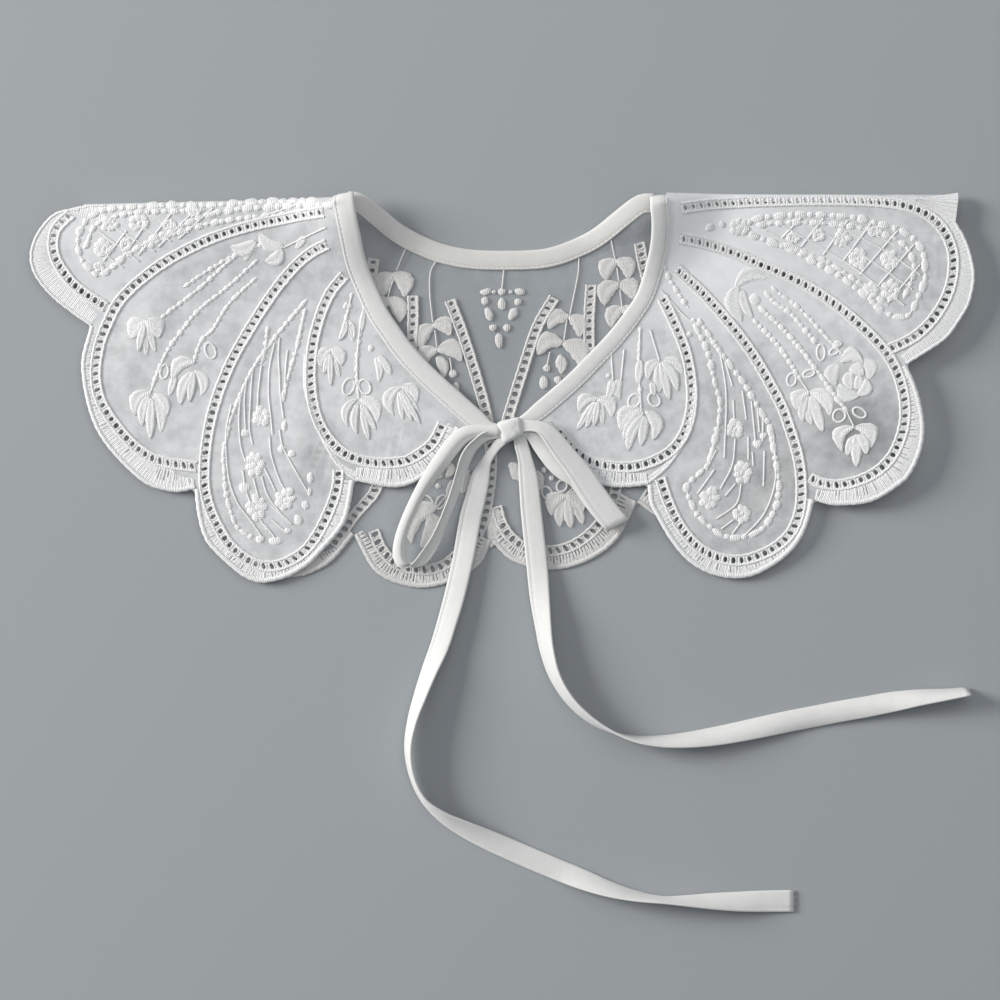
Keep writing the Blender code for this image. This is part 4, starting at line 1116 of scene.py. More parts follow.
RIGHT_LEAVES = (
    (642, 409, 621, 432, 6.5, -0.28), (643, 412, 624, 440, 5.0, -0.1), (643, 416, 628, 451, 4.5, -0.1),
    (645, 416, 641, 446, 4.0, 0.0), (646, 410, 653, 440, 5.5, 0.24),
    (597, 398, 579, 413, 5.0, -0.3), (597, 398, 612, 417, 5.5, 0.3), (595, 402, 577, 430, 3.0, 0.0),
    (596, 402, 586, 428, 3.0, 0.0), (598, 402, 594, 426, 3.0, 0.0), (600, 402, 603, 424, 3.0, 0.0),
    (659, 360, 648, 380, 4.5, -0.2), (659, 362, 659, 393, 4.5, 0.0), (661, 362, 669, 400, 4.0, 0.0),
    (662, 361, 677, 391, 4.0, 0.1), (663, 360, 682, 374, 4.5, 0.2),
    (620, 379, 620, 399, 4.5, -0.2), (612, 380, 607, 398, 4.0, 0.1), (640, 360, 638, 384, 3.5, 0.0),
    (652, 382, 654, 396, 3.0, 0.0),
    (766, 278, 734, 290, 6.0, -0.26), (736, 286, 741, 322, 7.0, -0.16), (742, 290, 752, 318, 4.0, -0.1),
    (832, 345, 841, 344, 3.0, 0.0),
    (808, 391, 796, 411, 6.0, -0.26), (808, 391, 829, 416, 6.0, 0.24), (808, 396, 811, 425, 4.0, -0.1),
    (810, 396, 822, 432, 4.5, 0.0), (806, 396, 802, 422, 4.0, -0.1),
    (852, 426, 841, 452, 5.5, -0.34), (854, 426, 870, 448, 6.0, 0.32), (853, 436, 846, 456, 3.4, -0.05),
    (855, 434, 855, 467, 4.5, 0.0), (857, 434, 865, 454, 4.5, 0.1),
    (838, 362, 862, 364, 6.0, 0.34), (860, 360, 868, 380, 6.0, 0.26), (836, 364, 834, 386, 6.0, -0.2),
    (836, 386, 858, 396, 6.0, -0.2), (866, 380, 856, 396, 5.0, 0.2), (848, 368, 862, 376, 5.0, 0.2),
    (848, 372, 850, 390, 5.0, -0.1), (858, 376, 854, 390, 4.0, 0.1),
)
RIGHT_BEADS = (
    (754, 300, 13, 12, -40), (699, 324, 8, 6, 0), (709, 229, 10, 8, 20), (721, 226, 7, 7, 0),
    (757, 444, 10, 9, 0), (763, 436, 8, 7, 0), (693, 321, 6, 5, 0), (689, 335, 6, 6, 0),
    (638, 370, 5, 8, 0), (640, 390, 5, 8, 0), (608, 376, 5, 5, 0), (876, 308, 9, 8, 0),
)
RIGHT_THREADS = (
    ((720, 353), (726, 396), (724, 458)), ((725, 362), (732, 386)), ((733, 400), (734, 420)),
    ((742, 391), (746, 420)), ((751, 401), (755, 441)), ((763, 417), (762, 441)),
    ((735, 439), (732, 465), (720, 489)), ((748, 437), (748, 460)), ((764, 451), (763, 486)),
    ((773, 434), (775, 479), (764, 513), (744, 536)), ((714, 470), (697, 494)), ((735, 484),
    (725, 496)),
    ((741, 484), (736, 504), (716, 519)), ((740, 523), (732, 534)), ((733, 520), (721, 529)),
    ((757, 408), (759, 432)), ((752, 452), (753, 466)), ((716, 450), (706, 470)),
    ((640, 328), (639, 372), (641, 408)), ((624, 350), (621, 380)), ((611, 352), (613, 380)),
    ((650, 330), (659, 360)), ((845, 411), (853, 428)), ((799, 379), (807, 391)),
    ((660, 290), (686, 318), (699, 324)),
    ((780, 226), (842, 262), (902, 306)), ((800, 222), (860, 256), (910, 290)),
    ((825, 222), (880, 250), (918, 276)), ((850, 224), (900, 250)), ((766, 232), (826, 264)),
    ((842, 262), (870, 224)), ((858, 276), (896, 232)), ((872, 292), (912, 246)),
    ((886, 304), (918, 266)), ((822, 256), (846, 222)), ((800, 248), (822, 220)),
    ((780, 240), (800, 219)),
)
RIGHT_LOOPS = (
    (634, 401, 5.5, 7.0, -30), (654, 400, 5.5, 7.0, 30), (820, 353, 4.0, 8.0, 0),
    (791, 380, 4.5, 6.5, -10), (838, 416, 6.0, 6.5, -30), (858, 413, 7.0, 4.5, -30),
    (833, 352, 5.0, 3.0, 30), (808, 374, 6.0, 3.5, 20),
)
RIGHT_STRANDS = (
    (((767, 295), (776, 304), (789, 313), (806, 332), (816, 344)), 6.5, (9, 6), (6, 5)),
    (((762, 310), (782, 329), (799, 348), (817, 372), (831, 392), (845, 411)), 6.5, (9, 6), (6, 5)),
    (((755, 322), (768, 335), (777, 345), (785, 356), (799, 379)), 6.5, (8, 6), (6, 5)),
    (((697, 330), (707, 350), (715, 384), (720, 402), (719, 420), (715, 439), (708, 463), (699, 474),
      (688, 484), (687, 492), (692, 505), (699, 517), (714, 530), (727, 537), (742, 537), (757, 532),
      (767, 523), (775, 508), (778, 496), (778, 482), (776, 465), (771, 436), (768, 424), (757, 406),
      (742, 381), (723, 356), (707, 332)), 9.5, (12, 7), (7, 6)),
    (((739, 229), (758, 220), (783, 217), (807, 216), (830, 217), (855, 219), (876, 225), (892, 229),
      (905, 235), (914, 242), (921, 253), (923, 268), (923, 280), (918, 294), (912, 308), (903, 318),
      (884, 314), (868, 300), (853, 288), (835, 275), (812, 262), (791, 251), (769, 243), (745, 234)),
     10.5, (13, 8), (7, 6)),
    (((640, 330), (639, 352), (639, 372)), 7.0, (7, 5), (5, 4)),
    (((760, 226), (800, 224), (846, 227), (884, 236), (906, 250), (912, 272), (902, 300)), 9.0,
     (10, 7), (7, 5)),
    (((786, 248), (824, 262), (858, 284), (886, 306)), 9.0, (10, 7), (7, 5)),
    (((774, 290), (800, 310), (824, 336), (846, 360)), 7.0, (8, 5), (6, 4)),
    (((700, 322), (712, 340), (722, 356)), 7.0, (8, 5), (6, 4)),
    (((660, 262), (672, 284), (688, 308)), 8.0, (8, 6), (6, 5)),
)
RIGHT_FLOWERS = (
    (735, 429, 18, 18), (742, 472, 17, 24), (710, 499, 18, 24), (742, 514, 17, 19),
    (739, 229, 19, 17), (792, 239, 15, 14), (817, 236, 15, 13), (841, 239, 15, 21), (873, 233, 15, 11),
    (857, 260, 18, 21), (888, 261, 16, 21), (870, 292, 14, 19), (889, 292, 16, 22),
)
for side_name, organza, stitching, cloth, sprays in (
        ("left", *front_pieces["left"], (LEFT_LEAVES, LEFT_BEADS, LEFT_THREADS, LEFT_LOOPS,
                                         LEFT_STRANDS, LEFT_FLOWERS)),
        ("right", *front_pieces["right"], (RIGHT_LEAVES, RIGHT_BEADS, RIGHT_THREADS, RIGHT_LOOPS,
                                           RIGHT_STRANDS, RIGHT_FLOWERS))):
    stitches = Stitches(cloth)
    work_sprays(stitches, *sprays)
    spray_piece = stitches.piece("sprays_front_" + side_name, FACE_THREAD)
    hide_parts("lace_front_" + side_name)

# Neck binding. A bias strip of plain white cotton is folded over the raw neck edge and topstitched
# through all layers close to its outer edge. One length runs round the back and down both fronts.
BINDING_WALL = 1.6
BINDING_ROLL_END = 100.0
BINDING_ROLL_STEPS = 8
BINDING_STEP = 2.2
BINDING_GATHER = 0.42
BINDING_GATHER_REACH = 14.0
TOPSTITCH_PITCH = 2.3
TOPSTITCH_WIDTH = 0.34
TOPSTITCH_RINGS = 5
TOPSTITCH_SIDES = 6
# Cross-section of the folded binding, from its bottom outer edge round to its bottom inner edge.
# Columns: place across in half widths, height in half walls
BINDING_PROFILE = (
    (-0.93, -1.0), (-1.0, -0.35), (-0.97, 0.45), (-0.86, 0.85), (-0.76, 0.62), (-0.72, 0.55),
    (-0.66, 0.72), (-0.5, 0.98), (0.1, 1.0), (0.6, 0.96), (0.86, 0.8), (0.97, 0.35),
    (1.0, -0.35), (0.93, -1.0), (0.0, -1.0),
)
TOPSTITCH_ACROSS = -0.73


def cotton_finish(name, white, thread_pitch):
    """Plain-weave cotton cut on the bias: matt, with threads that cross at 45 degrees."""
    material = bpy.data.materials.new(name)
    material.use_nodes = True
    nodes = material.node_tree.nodes
    link = material.node_tree.links.new
    surface = nodes["Principled BSDF"]
    surface.inputs["Roughness"].default_value = 0.82
    surface.inputs["Sheen Weight"].default_value = 0.2
    surface.inputs["Sheen Roughness"].default_value = 0.6
    surface.inputs["Specular IOR Level"].default_value = 0.25
    run = nodes.new("ShaderNodeUVMap")
    run.uv_map = "thread_run"
    bias = nodes.new("ShaderNodeMapping")
    bias.inputs["Rotation"].default_value[2] = math.radians(45)
    link(run.outputs["UV"], bias.inputs["Vector"])
    threads = []
    for axis in ("X", "Y"):
        wave = nodes.new("ShaderNodeTexWave")
        wave.bands_direction = axis
        wave.inputs["Scale"].default_value = math.pi / (10 * thread_pitch)
        wave.inputs["Distortion"].default_value = 1.0
        wave.inputs["Detail"].default_value = 2.0
        link(bias.outputs["Vector"], wave.inputs["Vector"])
        threads.append(wave)
    weave = nodes.new("ShaderNodeMath")
    weave.operation = "MULTIPLY"
    link(threads[0].outputs["Fac"], weave.inputs[0])
    link(threads[1].outputs["Fac"], weave.inputs[1])
    place = nodes.new("ShaderNodeTexCoord")
    cloud = nodes.new("ShaderNodeTexNoise")
    cloud.inputs["Scale"].default_value = 260.0
    cloud.inputs["Detail"].default_value = 5.0
    link(place.outputs["Object"], cloud.inputs["Vector"])
    tint = nodes.new("ShaderNodeMix")
    tint.data_type = "RGBA"
    tint.inputs["A"].default_value = (*(channel * 0.9 for channel in white), 1.0)
    tint.inputs["B"].default_value = (*white, 1.0)
    link(cloud.outputs["Fac"], tint.inputs["Factor"])
    link(tint.outputs["Result"], surface.inputs["Base Color"])
    height = nodes.new("ShaderNodeMath")
    height.operation = "MULTIPLY_ADD"
    height.inputs[1].default_value = 0.6
    link(weave.outputs["Value"], height.inputs[0])
    link(cloud.outputs["Fac"], height.inputs[2])
    bump = nodes.new("ShaderNodeBump")
    bump.inputs["Strength"].default_value = 0.45
    bump.inputs["Distance"].default_value = 0.00025
    link(height.outputs["Value"], bump.inputs["Height"])
    link(bump.outputs["Normal"], surface.inputs["Normal"])
    return material


COTTON = cotton_finish("white_bias_cotton", (0.745, 0.745, 0.725), 0.42)
# The back binding is the same cotton, darkened as painted shade for the shadow the raised shoulders
# cast on it.
COTTON_PAINTED_SHADE = cotton_finish("white_bias_cotton_painted_shade", (0.71, 0.70, 0.67), 0.42)
SEWING_THREAD = thread_finish("white_sewing_thread", (0.86, 0.86, 0.84), 0.55, 0.2)


def ring_frames(centres, sides):
    """Unit direction and unit normal of a tape at each of its rings."""
    ahead = np.gradient(centres, axis=0)
    ahead /= np.linalg.norm(ahead, axis=1)[:, None]
    up = np.cross(ahead, sides)
    up /= np.linalg.norm(up, axis=1)[:, None]
    return ahead, up


def tape(name, centres, sides, wall, profile, finish):
    """A closed tape: a cross-section swept along ring centres, with half widths as vectors."""
    centres = np.asarray(centres, dtype=float)
    sides = np.asarray(sides, dtype=float)
    up = ring_frames(centres, sides)[1]
    profile = np.asarray(profile)
    verts = (centres[:, None, :] + profile[None, :, :1] * sides[:, None, :]
             + profile[None, :, 1:2] * up[:, None, :] * wall / 2)
    count = len(profile)
    rings = len(centres)
    faces = ring_faces(rings, count)
    faces += [tuple(range(count))[::-1], tuple(range((rings - 1) * count, rings * count))]
    lengths = run_lengths(centres)
    widths = np.linalg.norm(sides, axis=1)
    around = np.column_stack((profile[:, 0], profile[:, 1] * 0.1))
    uvs = [(length, place * width + lift) for length, width in zip(lengths, widths)
           for place, lift in around]
    piece = make_piece(name, verts.reshape(-1, 3), faces, finish, uvs)
    return piece, lengths[-1] * MM


def topstitches(name, centres, sides, wall, across):
    """A row of short machine stitches, sunk a little into the tape along one line."""
    centres = np.asarray(centres, dtype=float)
    sides = np.asarray(sides, dtype=float)
    up = ring_frames(centres, sides)[1]
    line = centres + sides * across + up * (wall / 2 * 0.62)
    lengths = run_lengths(line)
    verts = []
    uvs = []
    faces = []
    for number in range(int(lengths[-1] / TOPSTITCH_PITCH)):
        start = (number + 0.12) * TOPSTITCH_PITCH
        first = len(verts)
        for ring in range(TOPSTITCH_RINGS):
            share = ring / (TOPSTITCH_RINGS - 1)
            along = start + share * TOPSTITCH_PITCH * 0.74
            at = rows_at(along, lengths, line)
            across_unit = rows_at(along, lengths, sides)
            across_unit /= np.linalg.norm(across_unit)
            up_unit = rows_at(along, lengths, up)
            swell = math.sin(math.pi * (0.12 + 0.76 * share))
            for turn in range(TOPSTITCH_SIDES):
                angle = math.tau * turn / TOPSTITCH_SIDES
                verts.append(at + (across_unit * math.cos(angle)
                             + up_unit * math.sin(angle)) * TOPSTITCH_WIDTH / 2 * swell
                             + up_unit * (swell - 0.7) * 0.22)
                uvs.append((along, turn / TOPSTITCH_SIDES))
        count = TOPSTITCH_RINGS * TOPSTITCH_SIDES
        for face in ring_faces(TOPSTITCH_RINGS, TOPSTITCH_SIDES) + [
                tuple(range(TOPSTITCH_SIDES))[::-1],
                tuple(range(count - TOPSTITCH_SIDES, count))]:
            faces.append(tuple(first + i for i in face))
    return make_piece(name, verts, faces, SEWING_THREAD, uvs)


def binding_rings(table, width, height, roll):
    """Ring centres and half widths of a binding, rolled over the shoulder where it starts."""
    path = smooth_rows(table, BINDING_STEP)
    side = left_of(path) * width / 2
    centres = []
    sides = []
    if roll is not None:
        to_knot = np.hypot(*(path - path[-1]).T)
        side *= 1 - BINDING_GATHER * ease(to_knot / BINDING_GATHER_REACH)[:, None]
        start_x, start_y = path[0]
        radius = fold_radius(roll, start_x) - LACE_WALL + BINDING_WALL / 2
        middle = back_height(start_x, start_y) + fold_radius(roll, start_x)
        for step in range(BINDING_ROLL_STEPS, 0, -1):
            angle = math.radians(BINDING_ROLL_END * step / BINDING_ROLL_STEPS)
            centres.append((start_x, start_y + radius * math.sin(angle),
                            middle + radius * math.cos(angle)))
            sides.append((*side[0], 0.0))
    left = path + side
    right = path - side
    left = np.column_stack((left, height(left[:, 0], left[:, 1]) + BINDING_WALL / 2))
    right = np.column_stack((right, height(right[:, 0], right[:, 1]) + BINDING_WALL / 2))
    centres += ((left + right) / 2).tolist()
    sides += ((left - right) / 2).tolist()
    return np.array(centres), np.array(sides)


# Columns: name, route, width, height below the binding, roll, side of the lace, finish
for place, table, width, height, roll, lace_side, finish in (
        # The back binding takes the cotton darkened as painted shade.
        ("back", BACK_BINDING, BACK_BINDING_WIDTH, back_height, None, -1, COTTON_PAINTED_SHADE),
        ("front_left", LEFT_BINDING, LEFT_BINDING_WIDTH,
         lambda x, y: front_height(FOLD_LEFT, x, y), FOLD_LEFT, -1, COTTON),
        ("front_right", RIGHT_BINDING, RIGHT_BINDING_WIDTH,
         lambda x, y: front_height(FOLD_RIGHT, x, y), FOLD_RIGHT, 1, COTTON)):
    centres, sides = binding_rings(table, width, height, roll)
    profile = [(across * -lace_side, lift) for across, lift in BINDING_PROFILE]
    if lace_side > 0:
        profile = profile[::-1]
    strip, strip_length = tape("binding_" + place, centres, sides, BINDING_WALL, profile, finish)
    row = topstitches("topstitching_" + place, centres, sides, BINDING_WALL,
                      -TOPSTITCH_ACROSS * lace_side)
    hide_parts("neck_binding_" + place)

# Bow. The two ends of the binding tape are tied over each other at the centre front. The left
# loop lies open with a soft crease along its middle, and the right loop is folded flat.
LOOP_WALL = 1.0
LEFT_LOOP_WIDTH = 0.0104
RIGHT_LOOP_WIDTH = 0.0112
TAPE_STEP = 2.4
TAPE_PROFILE = (
    (-0.94, -0.9), (-1.0, 0.0), (-0.95, 0.75), (-0.8, 1.0), (-0.68, 0.8), (-0.64, 0.72),
    (-0.58, 0.9), (-0.2, 1.0), (0.35, 0.96), (0.8, 1.0), (0.95, 0.75), (1.0, 0.0),
    (0.94, -0.9), (0.0, -1.0),
)
Tape = namedtuple("Tape", "x y foot width tilt")
# Cross-section of the left loop, ridged where its tape is creased
CREASED_PROFILE = (
    (-0.88, -0.8), (-1.0, 0.0), (-0.92, 1.1), (-0.5, 3.4), (-0.12, 4.6), (0.12, 4.6), (0.5, 3.4),
    (0.92, 1.1), (1.0, 0.0), (0.88, -0.8), (0.5, 1.4), (0.12, 2.6), (-0.12, 2.6), (-0.5, 1.4),
)
# Edges of the loops in the photograph. Columns: x, y and height of the first edge, then of the
# second edge
LEFT_LOOP = (
    (502, 438, 4.3, 502, 425, 6.2), (489, 437, 4, 485, 424.5, 6.2),
    (475, 438.5, 3.8, 469, 425.5, 6.6), (466, 444, 4.2, 456.5, 430, 6.4),
    (458, 453, 4.2, 447, 439, 6.4), (450, 464, 4, 438, 451.5, 6.2),
    (442, 474, 4, 430, 463, 6.2), (432, 486, 4, 421.5, 477, 6.2),
    (424, 498, 4, 414, 491, 6.2), (418, 510, 4, 407.5, 504.5, 6.2),
    (412.5, 521, 4, 402, 517, 6.2), (408.5, 532, 4, 397, 530.5, 6.2),
    (406, 543.5, 4, 393.8, 543.5, 6.2), (406, 554, 4, 393, 554.5, 6.2),
    (409, 562.5, 4, 396, 564, 6.2), (415, 567, 4, 402, 568.5, 6.2),
    (423, 566, 4, 409, 566, 6.2), (430, 560, 4, 415.5, 559.5, 6.2),
    (436, 551, 4, 422, 550.5, 6.2), (441.5, 540.5, 4, 430, 539, 6.2),
    (446.5, 527, 4, 437, 525.5, 6.2), (451.5, 515, 4, 442.3, 512.8, 6.2),
    (456.5, 502, 4, 447.6, 499.3, 6.2), (461, 490, 4.2, 451.8, 486.5, 6.4),
    (466, 476, 4.2, 456.2, 471, 6.4), (470.5, 463, 4, 460.4, 457.5, 9.2),
    (475.5, 452.5, 4.4, 466.4, 447, 8.4), (481, 446, 4.6, 473.8, 439.8, 7.8),
    (487.5, 441, 4.8, 482, 433.2, 7.4), (494, 439, 4.8, 491, 430, 7.2),
    (502, 438.5, 4.8, 501, 428, 7),
)
RIGHT_LOOP = (
    (516, 419, 5.6, 516, 433.5, 5.6), (528, 420, 5.8, 529.5, 431.5, 6.6),
    (540, 421.3, 5.8, 537.5, 433.5, 7.2), (550.5, 424.5, 5.8, 543, 440.5, 7.4),
    (560, 433, 5.8, 548.5, 449, 7.2), (568, 442, 5.7, 554, 457.5, 7.0),
    (575.5, 451, 5.6, 560.5, 466, 6.8), (583.5, 460, 5.6, 567, 475.5, 6.6),
    (591.5, 470, 5.5, 573, 485, 6.4), (600.5, 483, 5.5, 580.5, 497, 6.2),
    (610, 496.5, 5.5, 588.5, 509, 6.0), (620, 509.5, 5.5, 597.5, 521, 5.8),
    (628.2, 519.6, 5.4, 606.2, 531, 5.5), (629.4, 521.2, 4.7, 607.4, 532.6, 4.7),
    (628.2, 519.6, 4.0, 606.2, 531, 4.0), (618, 507, 4.0, 595.5, 519.5, 4.0),
    (606, 492, 4.0, 583.5, 504.5, 4.0), (594, 477, 4.0, 571, 486.5, 4.0),
    (582, 464, 4.0, 560.5, 480, 4.0), (571, 452, 4.0, 550.5, 472, 4.0),
    (560, 440, 4.0, 541, 460.5, 4.0), (549, 431, 4.0, 533.5, 449.5, 4.2),
    (537, 425, 4.2, 526.5, 438.5, 4.6), (524, 422, 4.4, 517, 433.5, 4.8),
)
KNOT_HEIGHT = 5.0
KNOT_THICKNESS = 6.6
# Corners of the knot in the photograph, turning clockwise from the upper left. Columns: x, y
KNOT_CORNERS = ((495.3, 422.6), (520.8, 416.4), (524.0, 434.8), (503.8, 445.0))
KNOT_ROWS = 18
KNOT_COLUMNS = 28


def tape_rings(table, wall):
    """Ring centres and half widths of a tape from a table of places, widths and tilts."""
    rows = smooth_rows(table, TAPE_STEP)
    left = left_of(rows)
    tilt = np.radians(rows[:, 4])
    half = rows[:, 3] / 2
    level = np.abs(np.sin(tilt)) * half + np.abs(np.cos(tilt)) * wall / 2
    centres = np.column_stack((rows[:, :2], np.maximum(rows[:, 2], 0.0) + level))
    sides = np.column_stack((left * np.cos(tilt)[:, None], np.sin(tilt))) * half[:, None]
    return centres, sides


def edge_rings(table):
    """Ring centres and half widths of a tape from a table of its two edges."""
    rows = smooth_rows([(*from_photo(*row[:2]), row[2], *from_photo(*row[3:5]), row[5])
                        for row in table], TAPE_STEP)
    return (rows[:, :3] + rows[:, 3:]) / 2, (rows[:, :3] - rows[:, 3:]) / 2


for place, table, width, profile in (("left", LEFT_LOOP, LEFT_LOOP_WIDTH, CREASED_PROFILE),
                                     ("right", RIGHT_LOOP, RIGHT_LOOP_WIDTH, TAPE_PROFILE)):
    centres, sides = edge_rings(table)
    loop, loop_length = tape("loop_" + place, centres, sides, LOOP_WALL, profile, COTTON)
    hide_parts("bow_loop_" + place)


def squared(value, power):
    """A sine or cosine that is flattened toward a square."""
    return math.copysign(abs(value) ** power, value)


def knot_mesh():
    """The knot: one turn of tape pulled tight, with two folds along its right side."""
    corners = [from_photo(x, y) for x, y in KNOT_CORNERS]
    verts = []
    uvs = []
    for row in range(KNOT_ROWS + 1):
        rise = math.pi * (row / KNOT_ROWS - 0.5)
        for column in range(KNOT_COLUMNS):
            round_angle = math.tau * column / KNOT_COLUMNS
            x = squared(math.cos(round_angle), 0.36) * squared(math.cos(rise), 0.4)
            y = squared(math.sin(round_angle), 0.36) * squared(math.cos(rise), 0.42)
            z = squared(math.sin(rise), 0.8)
            crease = 0.13 * math.exp(-((x - 0.55) / 0.07) ** 2)
            crease += 0.1 * math.exp(-((x - 0.82) / 0.06) ** 2)
            crease += 0.06 * math.exp(-((x + 0.45 + 0.3 * y) / 0.16) ** 2)
            z *= 1 - crease - 0.1 * x ** 2
            right = (1 + x) / 2
            top = (1 + y) / 2
            place = ((corners[0] * (1 - right) + corners[1] * right) * top
                     + (corners[3] * (1 - right) + corners[2] * right) * (1 - top))
            verts.append((*place, KNOT_HEIGHT + z * KNOT_THICKNESS / 2))
            uvs.append((y * 5, x * 5))
    return verts, ring_faces(KNOT_ROWS + 1, KNOT_COLUMNS), uvs


verts, faces, uvs = knot_mesh()
knot = make_piece("knot", verts, faces, COTTON, uvs)
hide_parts("bow_knot")

# Free ties. The ends of the binding tape hang out of the knot and lie loose on the table in long
# curves. They turn half on edge in places, and the left one shows its raw, frayed cut end.
TIE_WALL = 1.2
LEFT_TIE = (
    Tape(3.2, -17.0, 4.2, 5.0, 0),
    Tape(0.0, -19.6, 3.8, 4.4, 0),
    Tape(-2.9, -23.0, 3.0, 4.2, 10),
    Tape(-6.0, -27.6, 2.4, 4.8, 10),
    Tape(-8.0, -32.4, 2.0, 7.2, 0),
    Tape(-9.4, -37.0, 1.8, 9.2, 0),
    Tape(-11.6, -46.4, 1.8, 9.8, 0),
    Tape(-13.6, -54.4, 1.8, 10.0, 0),
    Tape(-15.9, -67.4, 1.8, 10.0, 8),
    Tape(-17.6, -76.0, 1.8, 9.8, 10),
    Tape(-20.9, -90.1, 1.8, 9.8, 14),
    Tape(-24.2, -101.7, 1.4, 9.8, 22),
    Tape(-27.8, -113.2, 1.0, 9.8, 28),
    Tape(-32.4, -124.4, 1.0, 10.0, 44),
    Tape(-36.6, -135.8, 1.2, 10.0, 55),
    Tape(-40.3, -147.4, 1.6, 10.0, 66),
    Tape(-42.2, -159.6, 1.8, 10.0, 73),
    Tape(-40.6, -171.8, 1.4, 10.0, 78),
    Tape(-35.5, -183.0, 0.8, 10.0, 76),
    Tape(-26.6, -191.2, 0.2, 10.0, 58),
    Tape(-16.1, -197.1, 0.0, 10.0, 36),
    Tape(-5.2, -202.3, 0.0, 10.0, 16),
    Tape(5.8, -207.2, 0.0, 10.0, 4),
    Tape(16.9, -212.0, 0.0, 10.0, 0),
    Tape(28.1, -216.6, 0.0, 9.8, -4),
    Tape(39.4, -220.8, 0.0, 9.8, -26),
    Tape(50.9, -224.7, 0.2, 9.8, -50),
    Tape(62.6, -227.6, 0.4, 9.8, -68),
    Tape(74.6, -229.3, 0.6, 9.8, -79),
    Tape(86.6, -229.8, 0.4, 9.8, -66),
    Tape(98.7, -230.1, 0.2, 9.8, -46),
    Tape(110.8, -230.4, 0.0, 9.8, -26),
    Tape(122.9, -230.4, 0.0, 9.9, -8),
    Tape(135.0, -230.4, 0.0, 10.2, 0),
)
RIGHT_TIE = (
    Tape(8.6, -16.2, 3.6, 6.0, 0),
    Tape(9.7, -20.4, 3.0, 6.4, 0),
    Tape(11.6, -27.6, 2.2, 6.8, 0),
    Tape(12.8, -34.6, 1.8, 8.6, 0),
    Tape(13.5, -41.4, 1.8, 9.2, 0),
    Tape(14.3, -50.6, 1.8, 9.6, 0),
    Tape(16.1, -67.4, 1.8, 9.8, 4),
    Tape(17.3, -79.3, 1.8, 9.8, 8),
    Tape(18.3, -91.2, 1.4, 9.8, 22),
    Tape(19.7, -103.1, 1.0, 10.0, 42),
    Tape(21.5, -114.9, 1.2, 10.0, 52),
    Tape(25.0, -126.5, 1.6, 10.0, 61),
    Tape(31.3, -137.0, 1.6, 10.0, 67),
    Tape(40.0, -145.6, 1.2, 10.0, 72),
    Tape(50.5, -151.9, 0.8, 10.0, 84),
    Tape(62.1, -155.6, 0.6, 10.0, 101),
    Tape(74.0, -156.7, 0.4, 10.0, 116),
    Tape(85.9, -156.1, 0.2, 10.0, 130),
    Tape(97.7, -154.6, 0.0, 10.0, 144),
    Tape(109.5, -152.5, 0.0, 10.0, 154),
    Tape(121.2, -150.1, 0.0, 10.0, 162),
    Tape(132.9, -147.7, 0.0, 9.8, 172),
    Tape(144.6, -145.5, 0.0, 9.8, 178),
    Tape(156.3, -143.2, 0.0, 9.8, 174),
    Tape(168.0, -141.1, 0.0, 9.8, 168),
    Tape(179.7, -138.8, 0.0, 9.8, 158),
    Tape(191.5, -136.8, 0.0, 9.8, 136),
    Tape(203.4, -135.4, 0.2, 9.8, 118),
    Tape(215.2, -133.8, 0.4, 9.8, 106),
)
TIE_STITCH_ACROSS = -0.64
FRAY_STRANDS = 26
FRAY_SIDES = 4
FRAY_SHARES = (0.0, 0.5, 1.0)


def frayed_end(centres, sides):
    """Short loose threads that stand out of the cut end of a tape."""
    ahead, up = ring_frames(centres, sides)
    across_unit = sides[-1] / np.linalg.norm(sides[-1])
    varied = np.random.default_rng(5)
    verts = []
    uvs = []
    faces = []
    for _ in range(FRAY_STRANDS):
        across = varied.uniform(-0.98, 0.98)
        start = centres[-1] + sides[-1] * across + up[-1] * varied.uniform(-0.4, 0.5)
        drift = across_unit * varied.uniform(-0.5, 0.5)
        drift = drift + up[-1] * varied.uniform(-0.15, 0.15)
        reach = varied.uniform(0.5, 1.7)
        first = len(verts)
        for share in FRAY_SHARES:
            at = start + ahead[-1] * (reach * share - 0.4) + drift * share ** 2
            size = 0.13 * (1 - 0.6 * share)
            for turn in range(FRAY_SIDES):
                angle = math.tau * turn / FRAY_SIDES
                verts.append(at + up[-1] * size * math.sin(angle)
                             + across_unit * size * math.cos(angle))
                uvs.append((share, turn / FRAY_SIDES))
        faces += [tuple(first + i for i in face)
                  for face in ring_faces(len(FRAY_SHARES), FRAY_SIDES)]
    return make_piece("frayed_threads", verts, faces, SEWING_THREAD, uvs)


for place, table in (("left", LEFT_TIE), ("right", RIGHT_TIE)):
    centres, sides = tape_rings(table, TIE_WALL)
    tie, tie_length = tape("ribbon_" + place, centres, sides, TIE_WALL, TAPE_PROFILE, COTTON)
    trim = [topstitches("tie_stitching_" + place, centres, sides, TIE_WALL, TIE_STITCH_ACROSS),
            topstitches("tie_stitching_under_" + place, centres, -sides, TIE_WALL,
                        TIE_STITCH_ACROSS)]
    if place == "left":
        trim.append(frayed_end(centres, sides))
    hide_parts("tie_" + place)

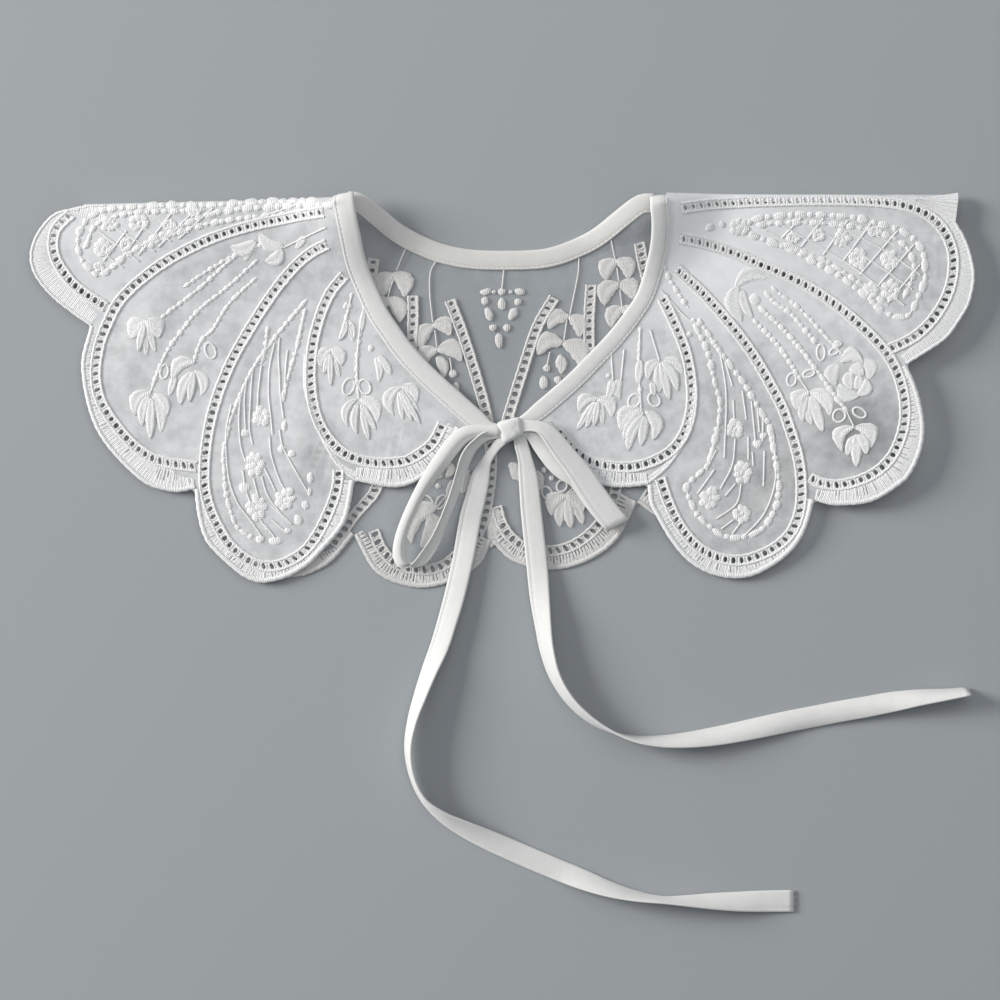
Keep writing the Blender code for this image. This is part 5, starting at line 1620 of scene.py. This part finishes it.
# Table, light and camera. The collar lies on a plain pale surface and is seen from straight
# above. A broad soft light stands to the left and a little behind.
PHOTO_WIDTH = 460.0
PHOTO_MIDDLE_Y = -46.0
CAMERA_HEIGHT = 1.5

floor_mesh = bpy.data.meshes.new("table_top")
floor_mesh.from_pydata([(-3, -3, 0), (3, -3, 0), (3, 3, 0), (-3, 3, 0)], [], [(0, 1, 2, 3)])
floor = bpy.data.objects.new("table_top", floor_mesh)
bpy.context.scene.collection.objects.link(floor)
floor.location.z = -0.0001
floor_finish = bpy.data.materials.new("matt_grey_table")
floor_finish.use_nodes = True
floor_surface = floor_finish.node_tree.nodes["Principled BSDF"]
floor_surface.inputs["Base Color"].default_value = (0.345, 0.365, 0.375, 1.0)
floor_surface.inputs["Roughness"].default_value = 0.9
floor_surface.inputs["Specular IOR Level"].default_value = 0.1
floor_mesh.materials.append(floor_finish)


def soft_light(name, place, size, power, colour):
    """A square area light that faces the middle of the collar."""
    lamp = bpy.data.lights.new(name, "AREA")
    lamp.shape = "SQUARE"
    lamp.size = size
    lamp.energy = power
    lamp.color = colour
    light = bpy.data.objects.new(name, lamp)
    light.location = place
    light.rotation_euler = (-Vector(place)).to_track_quat("-Z", "Y").to_euler()
    bpy.context.scene.collection.objects.link(light)


soft_light("window_light", (-2.79, 0.80, 1.2), 1.2, 124.0, (1.0, 0.99, 0.97))
soft_light("overhead_fill", (0.4, 1.0, 2.0), 2.4, 16.5, (0.97, 0.98, 1.0))

world = bpy.context.scene.world or bpy.data.worlds.new("studio")
bpy.context.scene.world = world
world.use_nodes = True
world.node_tree.nodes["Background"].inputs["Color"].default_value = (0.92, 0.95, 1.0, 1.0)
world.node_tree.nodes["Background"].inputs["Strength"].default_value = 0.30

bpy.context.scene.view_settings.view_transform = "Standard"
camera_data = bpy.data.cameras.new("overhead_camera")
camera_data.sensor_width = 36.0
camera_data.lens = 36.0 * CAMERA_HEIGHT / (PHOTO_WIDTH * MM)
camera = bpy.data.objects.new("overhead_camera", camera_data)
camera.location = (0.0, PHOTO_MIDDLE_Y * MM, CAMERA_HEIGHT)
bpy.context.scene.collection.objects.link(camera)
bpy.context.scene.camera = camera
